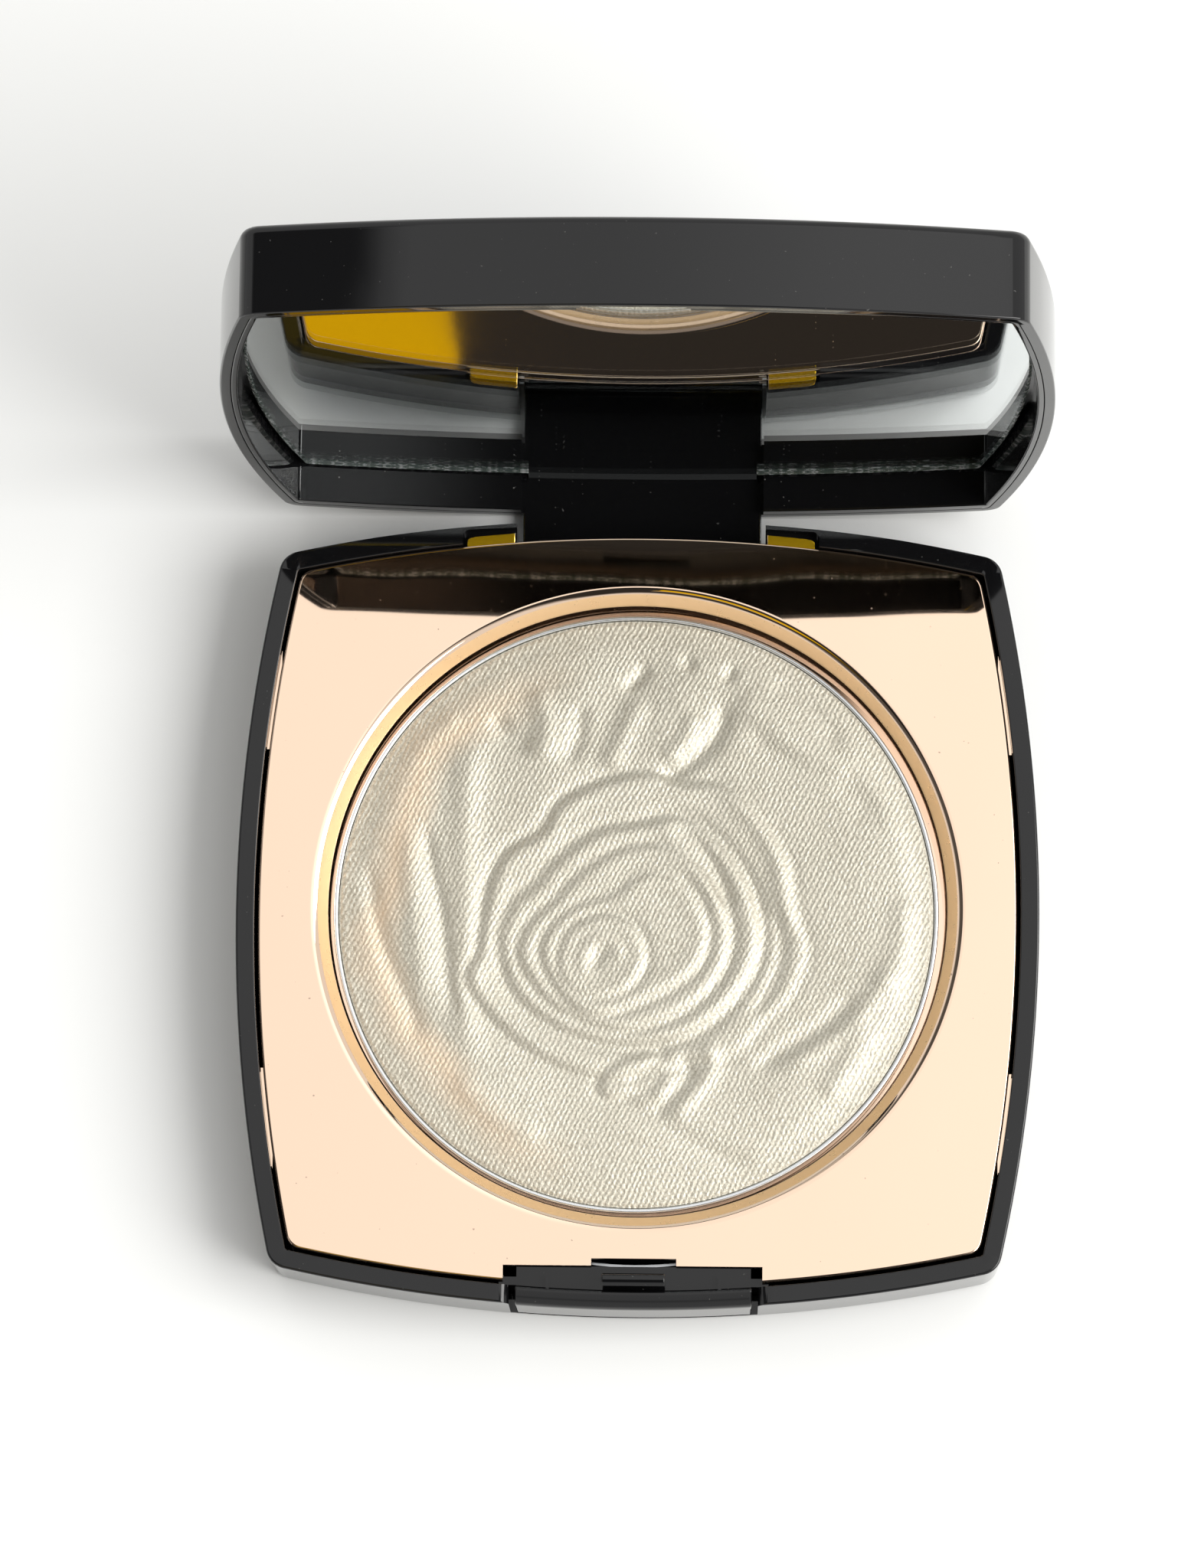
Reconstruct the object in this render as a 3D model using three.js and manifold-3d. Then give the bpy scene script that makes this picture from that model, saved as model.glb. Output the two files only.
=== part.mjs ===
// Powder compact: a bowed-square case with a hinged mirror lid, a push-button latch,
// a rose-gold inner plate with a round well, and a pressed-powder pan. Millimetres, +Z up.
// Origin: centre of the base's underside. -Y is the front (latch), +Y the back (hinge).
// The lid is built closed and then turned open about the hinge axis.
import * as THREE from "three";
import { mergeVertices } from "three/addons/utils/BufferGeometryUtils.js";
import Module from "manifold-3d";

const wasm = await Module();
wasm.setup();

// ---- driving dimensions ----
const W = 78.0; // full width across the bowed sides
const D = 77.8; // full depth, front to back
const SAG = 3.94; // how far each side bows out beyond its corners
const CORNER_R = 2.2;
const FOOT = 1.4; // underside to the datum the heights below are drawn from
const BASE_H = 8.5; // datum to rim, so the base is 9.9 high
const BASE_WALL = 1.8;
const BASE_FLOOR = 1.2 - FOOT; // top of a 1.2 floor
const BASE_EDGE_R = 1.5; // rounding under the base
const LID_H = 8.4; // rim to outer face
const LID_GAP = 0.1; // rim clearance when shut
const LID_EDGE_R = 1.1;
const LID_SKIN = 1.5;
const LID_WALL = 1.0;
const FRAME_WALL = 1.66; // shell wall plus inner frame wall, at the sides and front
const FRAME_BACK = 2.4; // the same at the hinge side
const MIRROR_RECESS = 3.7; // rim to mirror face
const MIRROR_T = 1.3;
const OPEN_DEG = 91.58; // lid angle at rest, against its stop
const HINGE_Y = 35.28;
const HINGE_Z = BASE_H - 5.72;
const ROLL_R = 5.74; // back rim, rounded about the hinge axis
const PIN_R = 0.65;
const PIN_HALF = 15.7;
const BARREL_R = 1.5;
const TONGUE_HALF = 11.8;
const TONGUE_T = 1.0;
const CUT_HALF = 12.2; // gap between the base's ears
const PLATE_TOP = BASE_H - 0.8;
const PLATE_T = 0.8;
const PLATE_OFF = 2.08; // outline to plate edge
const WELL_C = [0, 0.35];
const WELL_R = 31.45; // well mouth
const SEAT_R = 29.95; // straight part that holds the pan
const PAN_C = [-0.15, 0.2];
const PAN_R = 29.5;
const PAN_WALL = 0.45;
const PAN_BOTTOM = 2.15;
const PAN_TOP = 5.45;
const BUTTON_HALF = 11.5;
const FRONT_CUT_HALF = 12.0;
const BUTTON_TRAVEL = 0.9;

// ---- the bowed-square outline ----
const CX = W / 2 - SAG,
  CY = D / 2 - SAG;
const RX = (CY * CY + SAG * SAG) / (2 * SAG); // right and left arcs
const RY = (CX * CX + SAG * SAG) / (2 * SAG); // front and back arcs

// Points of the outline, counter-clockwise, pulled in by off = [right, back, left, front].
function outline(off, r, nSide = 12, nCorner = 4) {
  const [oR, oB, oL, oF] = Array.isArray(off) ? off : [off, off, off, off];
  const cR = [W / 2 - RX, 0],
    cL = [RX - W / 2, 0],
    cB = [0, D / 2 - RY],
    cF = [0, RY - D / 2];
  const arcs = [
    { c: cR, R: RX - oR },
    { c: cB, R: RY - oB },
    { c: cL, R: RX - oL },
    { c: cF, R: RY - oF },
  ];
  const quad = [
    [1, 1],
    [-1, 1],
    [-1, -1],
    [1, -1],
  ];
  const rr = Math.max(r, 0.05);
  const fil = arcs.map((a, i) => {
    const b = arcs[(i + 1) % 4];
    const r0 = a.R - rr,
      r1 = b.R - rr;
    const dx = b.c[0] - a.c[0],
      dy = b.c[1] - a.c[1],
      d = Math.hypot(dx, dy);
    const t = (r0 * r0 - r1 * r1 + d * d) / (2 * d),
      h = Math.sqrt(r0 * r0 - t * t);
    const bx = a.c[0] + (dx * t) / d,
      by = a.c[1] + (dy * t) / d;
    const s1 = [bx - (dy * h) / d, by + (dx * h) / d],
      s2 = [bx + (dy * h) / d, by - (dx * h) / d];
    const q = quad[i];
    return s1[0] * q[0] + s1[1] * q[1] > s2[0] * q[0] + s2[1] * q[1] ? s1 : s2;
  });
  const ang = (c, p) => Math.atan2(p[1] - c[1], p[0] - c[0]);
  const pts = [];
  arcs.forEach((a, i) => {
    const prev = fil[(i + 3) % 4],
      next = fil[i],
      b = arcs[(i + 1) % 4];
    let a0 = ang(a.c, prev),
      a1 = ang(a.c, next);
    while (a1 < a0) a1 += 2 * Math.PI;
    for (let k = 0; k < nSide; k++) {
      const t = a0 + ((a1 - a0) * k) / nSide;
      pts.push([a.c[0] + a.R * Math.cos(t), a.c[1] + a.R * Math.sin(t)]);
    }
    let b0 = ang(a.c, next),
      b1 = ang(b.c, next);
    while (b1 < b0) b1 += 2 * Math.PI;
    for (let k = 0; k < nCorner; k++) {
      const t = b0 + ((b1 - b0) * k) / nCorner;
      pts.push([next[0] + rr * Math.cos(t), next[1] + rr * Math.sin(t)]);
    }
  });
  return pts;
}

// A closed convex solid through rings of equal point counts, lowest first.
function loft(rings) {
  const n = rings[0].pts.length,
    v = [],
    idx = [];
  for (const { pts, z } of rings) for (const p of pts) v.push(p[0], p[1], z);
  rings.slice(1).forEach((_, j) => {
    for (let i = 0; i < n; i++) {
      const a = j * n + i,
        b = j * n + ((i + 1) % n),
        c = a + n,
        d = b + n;
      idx.push(a, b, d, a, d, c);
    }
  });
  const lo = v.length / 3;
  v.push(0, 0, rings[0].z);
  const hi = v.length / 3;
  v.push(0, 0, rings[rings.length - 1].z);
  const top = (rings.length - 1) * n;
  for (let i = 0; i < n; i++) {
    idx.push(lo, (i + 1) % n, i);
    idx.push(hi, top + i, top + ((i + 1) % n));
  }
  const g = new THREE.BufferGeometry();
  g.setAttribute("position", new THREE.Float32BufferAttribute(v, 3));
  g.setIndex(idx);
  return g;
}

// ---- three.js geometry to solids and back ----
function solid(g) {
  const c = g.clone();
  for (const k of Object.keys(c.attributes))
    if (k !== "position") c.deleteAttribute(k);
  const m = mergeVertices(c, 1e-5);
  return new wasm.Manifold(
    new wasm.Mesh({
      numProp: 3,
      vertProperties: new Float32Array(m.attributes.position.array),
      triVerts: new Uint32Array(m.index.array),
    }),
  );
}
function geometry(s) {
  const m = s.getMesh(),
    g = new THREE.BufferGeometry();
  const p = new Float32Array(m.numVert * 3);
  for (let i = 0; i < m.numVert; i++)
    for (let k = 0; k < 3; k++)
      p[3 * i + k] = m.vertProperties[i * m.numProp + k];
  g.setAttribute("position", new THREE.BufferAttribute(p, 3));
  g.setIndex(Array.from(m.triVerts));
  g.computeVertexNormals();
  return g;
}
function box(x0, x1, y0, y1, z0, z1) {
  const g = new THREE.BoxGeometry(x1 - x0, y1 - y0, z1 - z0);
  g.translate((x0 + x1) / 2, (y0 + y1) / 2, (z0 + z1) / 2);
  return solid(g);
}
function prism(pts, z0, z1) {
  const g = new THREE.ExtrudeGeometry(
    new THREE.Shape(pts.map((p) => new THREE.Vector2(p[0], p[1]))),
    { depth: z1 - z0, bevelEnabled: false },
  );
  g.translate(0, 0, z0);
  return solid(g);
}
// A section drawn in (y, z), run along X.
function prismX(yz, x0, x1) {
  const g = new THREE.ExtrudeGeometry(
    new THREE.Shape(yz.map((p) => new THREE.Vector2(p[0], p[1]))),
    { depth: x1 - x0, bevelEnabled: false },
  );
  g.applyMatrix4(
    new THREE.Matrix4().set(0, 0, 1, x0, 1, 0, 0, 0, 0, 1, 0, 0, 0, 0, 0, 1),
  );
  return solid(g);
}
function rodX(r, x0, x1, y, z, n = 24) {
  const g = new THREE.CylinderGeometry(r, r, x1 - x0, n);
  g.rotateZ(Math.PI / 2);
  g.translate((x0 + x1) / 2, y, z);
  return solid(g);
}
function disc(r, z0, z1, c = [0, 0], n = 72) {
  const g = new THREE.CylinderGeometry(r, r, z1 - z0, n);
  g.rotateX(Math.PI / 2);
  g.translate(c[0], c[1], (z0 + z1) / 2);
  return solid(g);
}
// A turned solid: profile [radius, z] closed on the axis or on itself.
function turned(profile, c = [0, 0], n = 72) {
  const g = new THREE.LatheGeometry(
    profile.map((p) => new THREE.Vector2(p[0], p[1])),
    n,
  );
  g.rotateX(Math.PI / 2);
  g.translate(c[0], c[1], 0);
  const s = solid(g);
  return s;
}
const mirrorX = (s) => s.mirror([1, 0, 0]);
const both = (s) => s.add(mirrorX(s));

// ---- colours ----
const mat = (hex, roughness, metalness) =>
  new THREE.MeshStandardMaterial({ color: hex, roughness, metalness });
const BLACK = mat(0x101012, 0.08, 0),
  GOLD = mat(0xf2b48c, 0.06, 1),
  ALU = mat(0xd4d6d8, 0.3, 1),
  POWDER = mat(0xe4dfcf, 0.6, 0),
  STEEL = mat(0xb8bbc0, 0.3, 1),
  GLASS = mat(0xe9eef0, 0.02, 1),
  TAPE = mat(0xf4f4f0, 0.8, 0);
const group = new THREE.Group();
function put(parent, name, s, material, shift) {
  if (s.volume() < 0) throw new Error(name + " is inside out");
  const g = geometry(s);
  g.translate(...(shift || [0, 0, FOOT]));
  const m = new THREE.Mesh(g, material);
  m.name = name;
  parent.add(m);
  return m;
}

// ---- base shell ----
function roundedFoot(off, z0, z1, r, steps) {
  const rings = [];
  for (let k = 0; k <= steps; k++) {
    const a = (k / steps) * (Math.PI / 2);
    rings.push({
      pts: outline(off + r * (1 - Math.sin(a)), CORNER_R - off - r * (1 - Math.sin(a))),
      z: z0 + r * (1 - Math.cos(a)),
    });
  }
  rings.push({ pts: outline(off, CORNER_R - off), z: z1 });
  return solid(loft(rings));
}
let base = roundedFoot(0, -FOOT, BASE_H, BASE_EDGE_R, 4);
base = base.subtract(prism(outline(BASE_WALL, 0.4), BASE_FLOOR, BASE_H + 1));
// posts that carry the inner plate
for (const [x, y] of [
  [29.8, 29.6],
  [29.8, -29.6],
  [-29.8, 29.6],
  [-29.8, -29.6],
])
  base = base.add(disc(2.0, BASE_FLOOR - 0.5, PLATE_TOP - PLATE_T - 0.05, [x, y], 16));
// hinge ears, cradles for the pin, and the way through for the lid's tongue
const insideBase = prism(outline(0.9, 1), BASE_FLOOR - 0.5, PLATE_TOP - PLATE_T - 0.05);
const ear = box(CUT_HALF, 17.6, 33.5, 39, BASE_FLOOR - 0.5, 8).intersect(insideBase);
base = base.add(both(ear));
base = base.subtract(box(-CUT_HALF, CUT_HALF, 33.5, 40, -FOOT - 1, BASE_H + 1));
base = base.subtract(
  both(box(CUT_HALF - 0.2, PIN_HALF + 0.15, HINGE_Y - 0.68, HINGE_Y + 0.68, HINGE_Z - 0.68, BASE_H + 1)),
);
const tabRoom = prism(outline(0.8, 1), PLATE_TOP - PLATE_T - 0.05, BASE_H + 1).intersect(
  box(CUT_HALF - 0.2, 17.3, 35.5, 39, 0, 20),
);
base = base.subtract(both(tabRoom));
// the back rim is rounded about the hinge axis so that the lid's rim rolls past it
const roll = box(-37, 37, HINGE_Y, 40, HINGE_Z, BASE_H + 1).subtract(
  rodX(ROLL_R, -38, 38, HINGE_Y, HINGE_Z, 96),
);
base = base.subtract(roll);
// clip pockets in the side walls
for (const y of [20.6, -20.6])
  base = base.subtract(
    both(prism(outline(1.2, 1), 6.0, 7.05).intersect(box(34, 40, y - 5.2, y + 5.2, 6.0, 7.05))),
  );
// way out for the button, and the rib behind its spring
base = base.subtract(box(-FRONT_CUT_HALF, FRONT_CUT_HALF, -40, -36, 1.5 - FOOT, BASE_H + 1));
base = base.add(box(-9.5, 9.5, -33.3, -32.5, BASE_FLOOR - 0.5, 6.7));
put(group, "base_shell", base, BLACK);

// ---- inner plate with the well ----
const under = PLATE_TOP - PLATE_T;
let plate = prism(outline([PLATE_OFF, 1.85, PLATE_OFF, 2.2], 2.0), under, PLATE_TOP);
plate = plate.add(
  turned(
    [
      [0, 1.3],
      [30.85, 1.3],
      [30.85, 5.0],
      [32.3, under],
      [32.3, under + 0.4],
      [0, under + 0.4],
    ],
    WELL_C,
  ),
);
plate = plate.subtract(
  turned(
    [
      [0, 2.0],
      [SEAT_R, 2.0],
      [SEAT_R, 5.3],
      [30.95, 7.05],
      [31.12, 7.4],
      [WELL_R, PLATE_TOP],
      [WELL_R, PLATE_TOP + 1],
      [0, PLATE_TOP + 1],
    ],
    WELL_C,
  ),
);
plate = plate.subtract(disc(4, 0, 3, WELL_C, 32)); // knock-out hole under the pan
// latch notch: a wide step and a narrower one
plate = plate.subtract(box(-12.6, 12.4, -40, -34.65, 0, 20));
plate = plate.subtract(box(-4.1, 4.1, -40, -33.95, 0, 20));
// tabs that go down over the hinge pin's ends
const tabPlan = prism(outline(0.88, 1), under, PLATE_TOP - 0.2);
let tab = box(12.5, PIN_HALF - 0.05, 34.7, 35.85, HINGE_Z + PIN_R + 0.06, under + 0.1);
tab = tab.add(box(12.35, 17.1, 34.5, 39, under, PLATE_TOP - 0.2).intersect(tabPlan));
plate = plate.add(both(tab));
// side clips
for (const y of [20.6, -20.6]) {
  const reach = prism(outline(1.88, 1), 5.9, PLATE_TOP - 0.15);
  let clip = box(35.0, 40, y - 4.9, y + 4.9, 5.9, PLATE_TOP - 0.15)
    .intersect(reach)
    .subtract(prism(outline(2.7, 1), 0, 7.2));
  clip = clip.add(
    box(35.0, 40, y - 4.6, y + 4.6, 6.2, 6.85)
      .intersect(prism(outline(1.55, 1), 6.2, 6.85))
      .subtract(prism(outline(2.5, 1), 0, 20)),
  );
  plate = plate.add(both(clip));
}
put(group, "inner_plate", plate, GOLD);

// ---- pan, adhesive, powder ----
put(group, "pan_adhesive", disc(24, 2.0, PAN_BOTTOM, PAN_C, 48), TAPE);
put(
  group,
  "powder_pan",
  disc(PAN_R, PAN_BOTTOM, PAN_TOP, PAN_C, 96).subtract(
    disc(PAN_R - PAN_WALL, PAN_BOTTOM + 0.4, PAN_TOP + 1, PAN_C, 96),
  ),
  ALU,
);
put(
  group,
  "powder_cake",
  turned(
    [
      [0, PAN_BOTTOM + 0.4],
      [28.98, PAN_BOTTOM + 0.4],
      [28.98, 5.25],
      [28.2, 5.5],
      [26, 5.7],
      [14, 5.95],
      [0, 6.0],
    ],
    PAN_C,
    72,
  ),
  POWDER,
);

// ---- hinge pin ----
put(
  group,
  "hinge_pin",
  rodX(PIN_R, -PIN_HALF, PIN_HALF, HINGE_Y, HINGE_Z, 24),
  STEEL,
);

// ---- latch button ----
const frontBand = (o0, o1, x, z0, z1) =>
  prism(outline(o0, 1), z0, z1)
    .subtract(prism(outline(o1, 1), z0 - 1, z1 + 1))
    .intersect(box(-x, x, -40, -30, z0, z1));
let button = frontBand(0.02, 1.95, BUTTON_HALF, 1.65 - FOOT, BASE_H - 0.15);
button = button.add(box(-11.3, 11.3, -37.3, -34.6, 6.0, 6.8));
button = button.add(box(-10, 10, -35.4, -34.6, 2.5, 6.8));
button = button.add(box(-11.3, 11.3, -37.0, -36.0, 1.7 - FOOT, 6.8));
button = button.add(both(box(11.0, 13.0, -36.5, -35.7, 1.7 - FOOT, 6.8)));
button = button.add(both(box(8.15, 8.45, -37.2, -35.7, 6.7, 7.5)));
// hook post with a nose that points to the front
button = button.add(
  prismX(
    [
      [-36.35, 6.5],
      [-35.6, 6.5],
      [-35.6, 9.95],
      [-35.95, 10.3],
      [-36.45, 10.3],
      [-36.82, 9.95],
      [-36.82, 9.72],
      [-36.35, 9.72],
      [-36.35, 8.9],
    ],
    -3.05,
    3.05,
  ),
);
put(group, "latch_button", button, BLACK);

// ---- latch spring: a bowed leaf between the button's web and the rib ----
const leaf = [],
  LN = 14;
for (let k = 0; k <= LN; k++) {
  const x = -8 + (16 * k) / LN;
  leaf.push([x, -34.33 + 0.95 * (x / 8) ** 2]);
}
for (let k = LN; k >= 0; k--) {
  const x = -8 + (16 * k) / LN;
  leaf.push([x, -34.57 + 0.95 * (x / 8) ** 2]);
}
put(group, "latch_spring", prism(leaf.reverse(), 3.0, 5.4), STEEL);

// ---- lid, built shut, then opened about the hinge axis ----
const RIM = BASE_H + LID_GAP,
  LID_TOP = BASE_H + LID_H + LID_GAP;
const lid = new THREE.Group();
lid.position.set(0, HINGE_Y, HINGE_Z + FOOT);
lid.rotation.x = (-OPEN_DEG * Math.PI) / 180;
group.add(lid);
const toHinge = [0, -HINGE_Y, -HINGE_Z];

function roundedCap(z0, z1, r, steps) {
  const rings = [{ pts: outline(0, CORNER_R), z: z0 }];
  for (let k = 0; k <= steps; k++) {
    const a = (k / steps) * (Math.PI / 2);
    rings.push({
      pts: outline(r * (1 - Math.cos(a)), CORNER_R - r * (1 - Math.cos(a)) * 0.9),
      z: z1 - r * (1 - Math.sin(a)),
    });
  }
  return solid(loft(rings));
}
let shell = roundedCap(RIM, LID_TOP, LID_EDGE_R, 4);
shell = shell.subtract(prism(outline(LID_WALL, 1.2), RIM - 1, LID_TOP - LID_SKIN));
// hinge tongue: the back wall runs down to a barrel round the pin
const arc = (r, a0, a1, n) =>
  Array.from({ length: n + 1 }, (_, k) => {
    const a = ((a0 + ((a1 - a0) * k) / n) * Math.PI) / 180;
    return [HINGE_Y + r * Math.cos(a), HINGE_Z + r * Math.sin(a)];
  });
let tongue = prismX(
  [
    [D / 2, BASE_H + 2],
    [D / 2 - TONGUE_T, BASE_H + 2],
    [D / 2 - TONGUE_T, HINGE_Z + 1.1],
    [D / 2 - TONGUE_T - 0.35, HINGE_Z + 0.75],
    ...arc(BARREL_R, 30, 330, 20),
    [D / 2 - 0.35, HINGE_Z - 0.75],
    [D / 2, HINGE_Z - 0.4],
  ],
  -TONGUE_HALF,
  TONGUE_HALF,
).intersect(prism(outline(0, CORNER_R, 24), 0, 20));
tongue = tongue.subtract(
  prism(outline(TONGUE_T, 1.2, 12), BASE_H + LID_GAP, 20),
);
shell = shell.add(tongue);
shell = shell.subtract(rodX(0.75, -20, 20, HINGE_Y, HINGE_Z, 24));
// latch recess and its catch ledge, inside the front wall
shell = shell.subtract(
  prism(outline(0.5, 1), RIM - 1, RIM + 1.8)
    .intersect(box(-4.7, 4.7, -40, -37, RIM - 1, RIM + 1.8)),
);
shell = shell.add(
  prism(outline(0.3, 1), RIM + 0.4, RIM + 1.0).intersect(
    box(-4.8, 4.6, -40, -36.91, RIM + 0.4, RIM + 1.0),
  ),
);
put(lid, "lid_shell", shell, BLACK, toHinge);

const seatZ = BASE_H + MIRROR_RECESS + MIRROR_T + 0.45;
let frame = prism(outline(LID_WALL + 0.05, 1.1), RIM, seatZ + 1.0);
frame = frame.subtract(
  prism(outline([FRAME_WALL, FRAME_BACK, FRAME_WALL, FRAME_WALL], 0.35), RIM - 1, seatZ),
);
frame = frame.subtract(box(-12, 12, 35.5, 40, RIM - 1, seatZ));
frame = frame.subtract(box(-5.1, 5.1, -40, -36.5, RIM - 1, RIM + 1.8));
put(lid, "lid_inner_frame", frame, BLACK, toHinge);

const mz = BASE_H + MIRROR_RECESS;
const mOut = (d) => outline([2.15 + d, 2.65 + d, 2.15 + d, 2.15 + d], 0.6);
// the glass has a low tab in the middle that reaches down to the tongue
const glass = solid(
  loft([
    { pts: mOut(0.3), z: mz },
    { pts: mOut(0), z: mz + 0.3 },
    { pts: mOut(0), z: mz + MIRROR_T },
  ]),
).add(
  prism(outline(1.3, 1), mz, mz + MIRROR_T).intersect(box(-11.3, 11.3, 35.5, 40, mz, mz + MIRROR_T)),
);
put(lid, "mirror_glass", glass, GLASS, toHinge);
put(
  lid,
  "mirror_tape_left",
  box(-27, -9, -24, 24, mz + MIRROR_T + 0.03, seatZ - 0.03),
  TAPE,
  toHinge,
);
put(
  lid,
  "mirror_tape_right",
  box(9, 27, -24, 24, mz + MIRROR_T + 0.03, seatZ - 0.03),
  TAPE,
  toHinge,
);

export default group;
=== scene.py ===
import math
import bpy
import bmesh
import numpy as np
from mathutils import Matrix, Vector


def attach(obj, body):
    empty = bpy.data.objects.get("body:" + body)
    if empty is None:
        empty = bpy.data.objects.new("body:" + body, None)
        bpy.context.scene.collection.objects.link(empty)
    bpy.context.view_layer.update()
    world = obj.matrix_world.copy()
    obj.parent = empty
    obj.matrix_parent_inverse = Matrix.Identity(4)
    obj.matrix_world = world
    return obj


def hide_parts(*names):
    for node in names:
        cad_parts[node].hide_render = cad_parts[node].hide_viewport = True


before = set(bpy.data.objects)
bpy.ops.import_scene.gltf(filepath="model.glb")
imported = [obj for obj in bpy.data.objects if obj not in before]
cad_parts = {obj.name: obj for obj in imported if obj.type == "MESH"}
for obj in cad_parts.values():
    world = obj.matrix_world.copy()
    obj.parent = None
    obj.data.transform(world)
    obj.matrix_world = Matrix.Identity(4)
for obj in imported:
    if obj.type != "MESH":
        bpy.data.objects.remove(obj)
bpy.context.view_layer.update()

MM = 0.001

# ------------------------------------------------------------------ dimensions, millimetres
W, D, SAG = 78.0, 77.8, 3.94
CORNER_R = 2.2
FOOT = 1.4            # heights are drawn from a datum this far above the underside
BASE_H, BASE_WALL, BASE_FLOOR = 8.5, 1.8, 1.2 - FOOT
HINGE_Y, HINGE_Z = 35.28, BASE_H - 5.72
ROLL_R = 5.74
OPEN = math.radians(91.58)
PLATE_TOP = BASE_H - 0.8
WELL_C, WELL_R, SEAT_R = (0.0, 0.35), 31.45, 29.95
PAN_C, PAN_R, PAN_TOP, PAN_BOTTOM = (-0.15, 0.2), 29.5, 5.45, 2.15
LID_GAP, LID_H = 0.1, 8.4
RIM = BASE_H + LID_GAP
LID_TOP = RIM + LID_H
MIRROR_Z = BASE_H + 3.7
MIRROR_T = 1.3
SEAT_Z = MIRROR_Z + MIRROR_T + 0.45
CUT_HALF, TONGUE_HALF = 12.2, 11.8

CX, CY = W / 2 - SAG, D / 2 - SAG
RX = (CY * CY + SAG * SAG) / (2 * SAG)
RY = (CX * CX + SAG * SAG) / (2 * SAG)


def outline(off, r, n_side=40, n_corner=10):
    """The bowed square, counter-clockwise, pulled in by off = [right, back, left, front]."""
    o = list(off) if hasattr(off, "__len__") else [off] * 4
    rr = max(r, 0.04)
    arcs = [((W / 2 - RX, 0.0), RX - o[0]), ((0.0, D / 2 - RY), RY - o[1]),
            ((RX - W / 2, 0.0), RX - o[2]), ((0.0, RY - D / 2), RY - o[3])]
    quad = [(1, 1), (-1, 1), (-1, -1), (1, -1)]
    fil = []
    for i in range(4):
        (ca, Ra), (cb, Rb) = arcs[i], arcs[(i + 1) % 4]
        r0, r1 = Ra - rr, Rb - rr
        dx, dy = cb[0] - ca[0], cb[1] - ca[1]
        d = math.hypot(dx, dy)
        t = (r0 * r0 - r1 * r1 + d * d) / (2 * d)
        h = math.sqrt(r0 * r0 - t * t)
        bx, by = ca[0] + dx * t / d, ca[1] + dy * t / d
        s1 = (bx - dy * h / d, by + dx * h / d)
        s2 = (bx + dy * h / d, by - dx * h / d)
        q = quad[i]
        fil.append(s1 if s1[0] * q[0] + s1[1] * q[1] > s2[0] * q[0] + s2[1] * q[1] else s2)
    pts = []
    for i in range(4):
        c, R = arcs[i]
        prev, nxt = fil[(i + 3) % 4], fil[i]
        a0 = math.atan2(prev[1] - c[1], prev[0] - c[0])
        a1 = math.atan2(nxt[1] - c[1], nxt[0] - c[0])
        while a1 < a0:
            a1 += 2 * math.pi
        for k in range(n_side):
            t = a0 + (a1 - a0) * k / n_side
            pts.append((c[0] + R * math.cos(t), c[1] + R * math.sin(t)))
        c2 = arcs[(i + 1) % 4][0]
        b0 = math.atan2(nxt[1] - c[1], nxt[0] - c[0])
        b1 = math.atan2(nxt[1] - c2[1], nxt[0] - c2[0])
        while b1 < b0:
            b1 += 2 * math.pi
        for k in range(n_corner):
            t = b0 + (b1 - b0) * k / n_corner
            pts.append((nxt[0] + rr * math.cos(t), nxt[1] + rr * math.sin(t)))
    return np.array(pts)


# ------------------------------------------------------------------ mesh helpers
def new_mesh(name, verts, faces):
    me = bpy.data.meshes.new(name)
    me.from_pydata([tuple(v) for v in np.asarray(verts, float)], [], faces)
    me.validate()
    ob = bpy.data.objects.new(name, me)
    bpy.context.scene.collection.objects.link(ob)
    return ob


def loft(name, rings, cap=True, close=False):
    """rings: arrays (n,3) of equal length. Faces run so that rings listed from the outside bottom, up and over to the inside, face outwards."""
    n = len(rings[0])
    v = np.concatenate(rings)
    f = []
    m = len(rings)
    for j in range(m if close else m - 1):
        a0, b0 = j * n, ((j + 1) % m) * n
        for i in range(n):
            i2 = (i + 1) % n
            f.append((a0 + i, a0 + i2, b0 + i2, b0 + i))
    if cap and not close:
        f.append(tuple(range(n - 1, -1, -1)))
        f.append(tuple((m - 1) * n + i for i in range(n)))
    return new_mesh(name, v, f)


def ring(pts, z):
    return np.c_[pts, np.full(len(pts), z)]


def circle(r, z, c=(0, 0), n=256):
    a = np.arange(n) * 2 * np.pi / n
    return np.c_[c[0] + r * np.cos(a), c[1] + r * np.sin(a), np.full(n, z)]


def fillet(p0, p1, p2, r, n=5):
    """Rounds the corner p1 of a profile."""
    p0, p1, p2 = (np.array(p, float) for p in (p0, p1, p2))
    a, b = p0 - p1, p2 - p1
    la, lb = np.hypot(*a), np.hypot(*b)
    a, b = a / la, b / lb
    ang = math.acos(max(-1, min(1, float(a @ b))))
    t = min(r / math.tan(ang / 2), 0.49 * la, 0.49 * lb)
    r = t * math.tan(ang / 2)
    c = p1 + (a + b) / np.hypot(*(a + b)) * (r / math.sin(ang / 2))
    s, e = p1 + a * t, p1 + b * t
    t0, t1 = math.atan2(*(s - c)[::-1]), math.atan2(*(e - c)[::-1])
    d = (t1 - t0 + math.pi) % (2 * math.pi) - math.pi
    return [tuple(c + r * np.array([math.cos(t0 + d * k / n), math.sin(t0 + d * k / n)])) for k in range(n + 1)]


def rounded(profile, radii, n=5):
    out = []
    for i, p in enumerate(profile):
        r = radii[i] if i < len(radii) else 0
        if r > 0 and 0 < i < len(profile) - 1:
            out += fillet(profile[i - 1], p, profile[i + 1], r, n)
        else:
            out.append(tuple(p))
    return out


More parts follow.
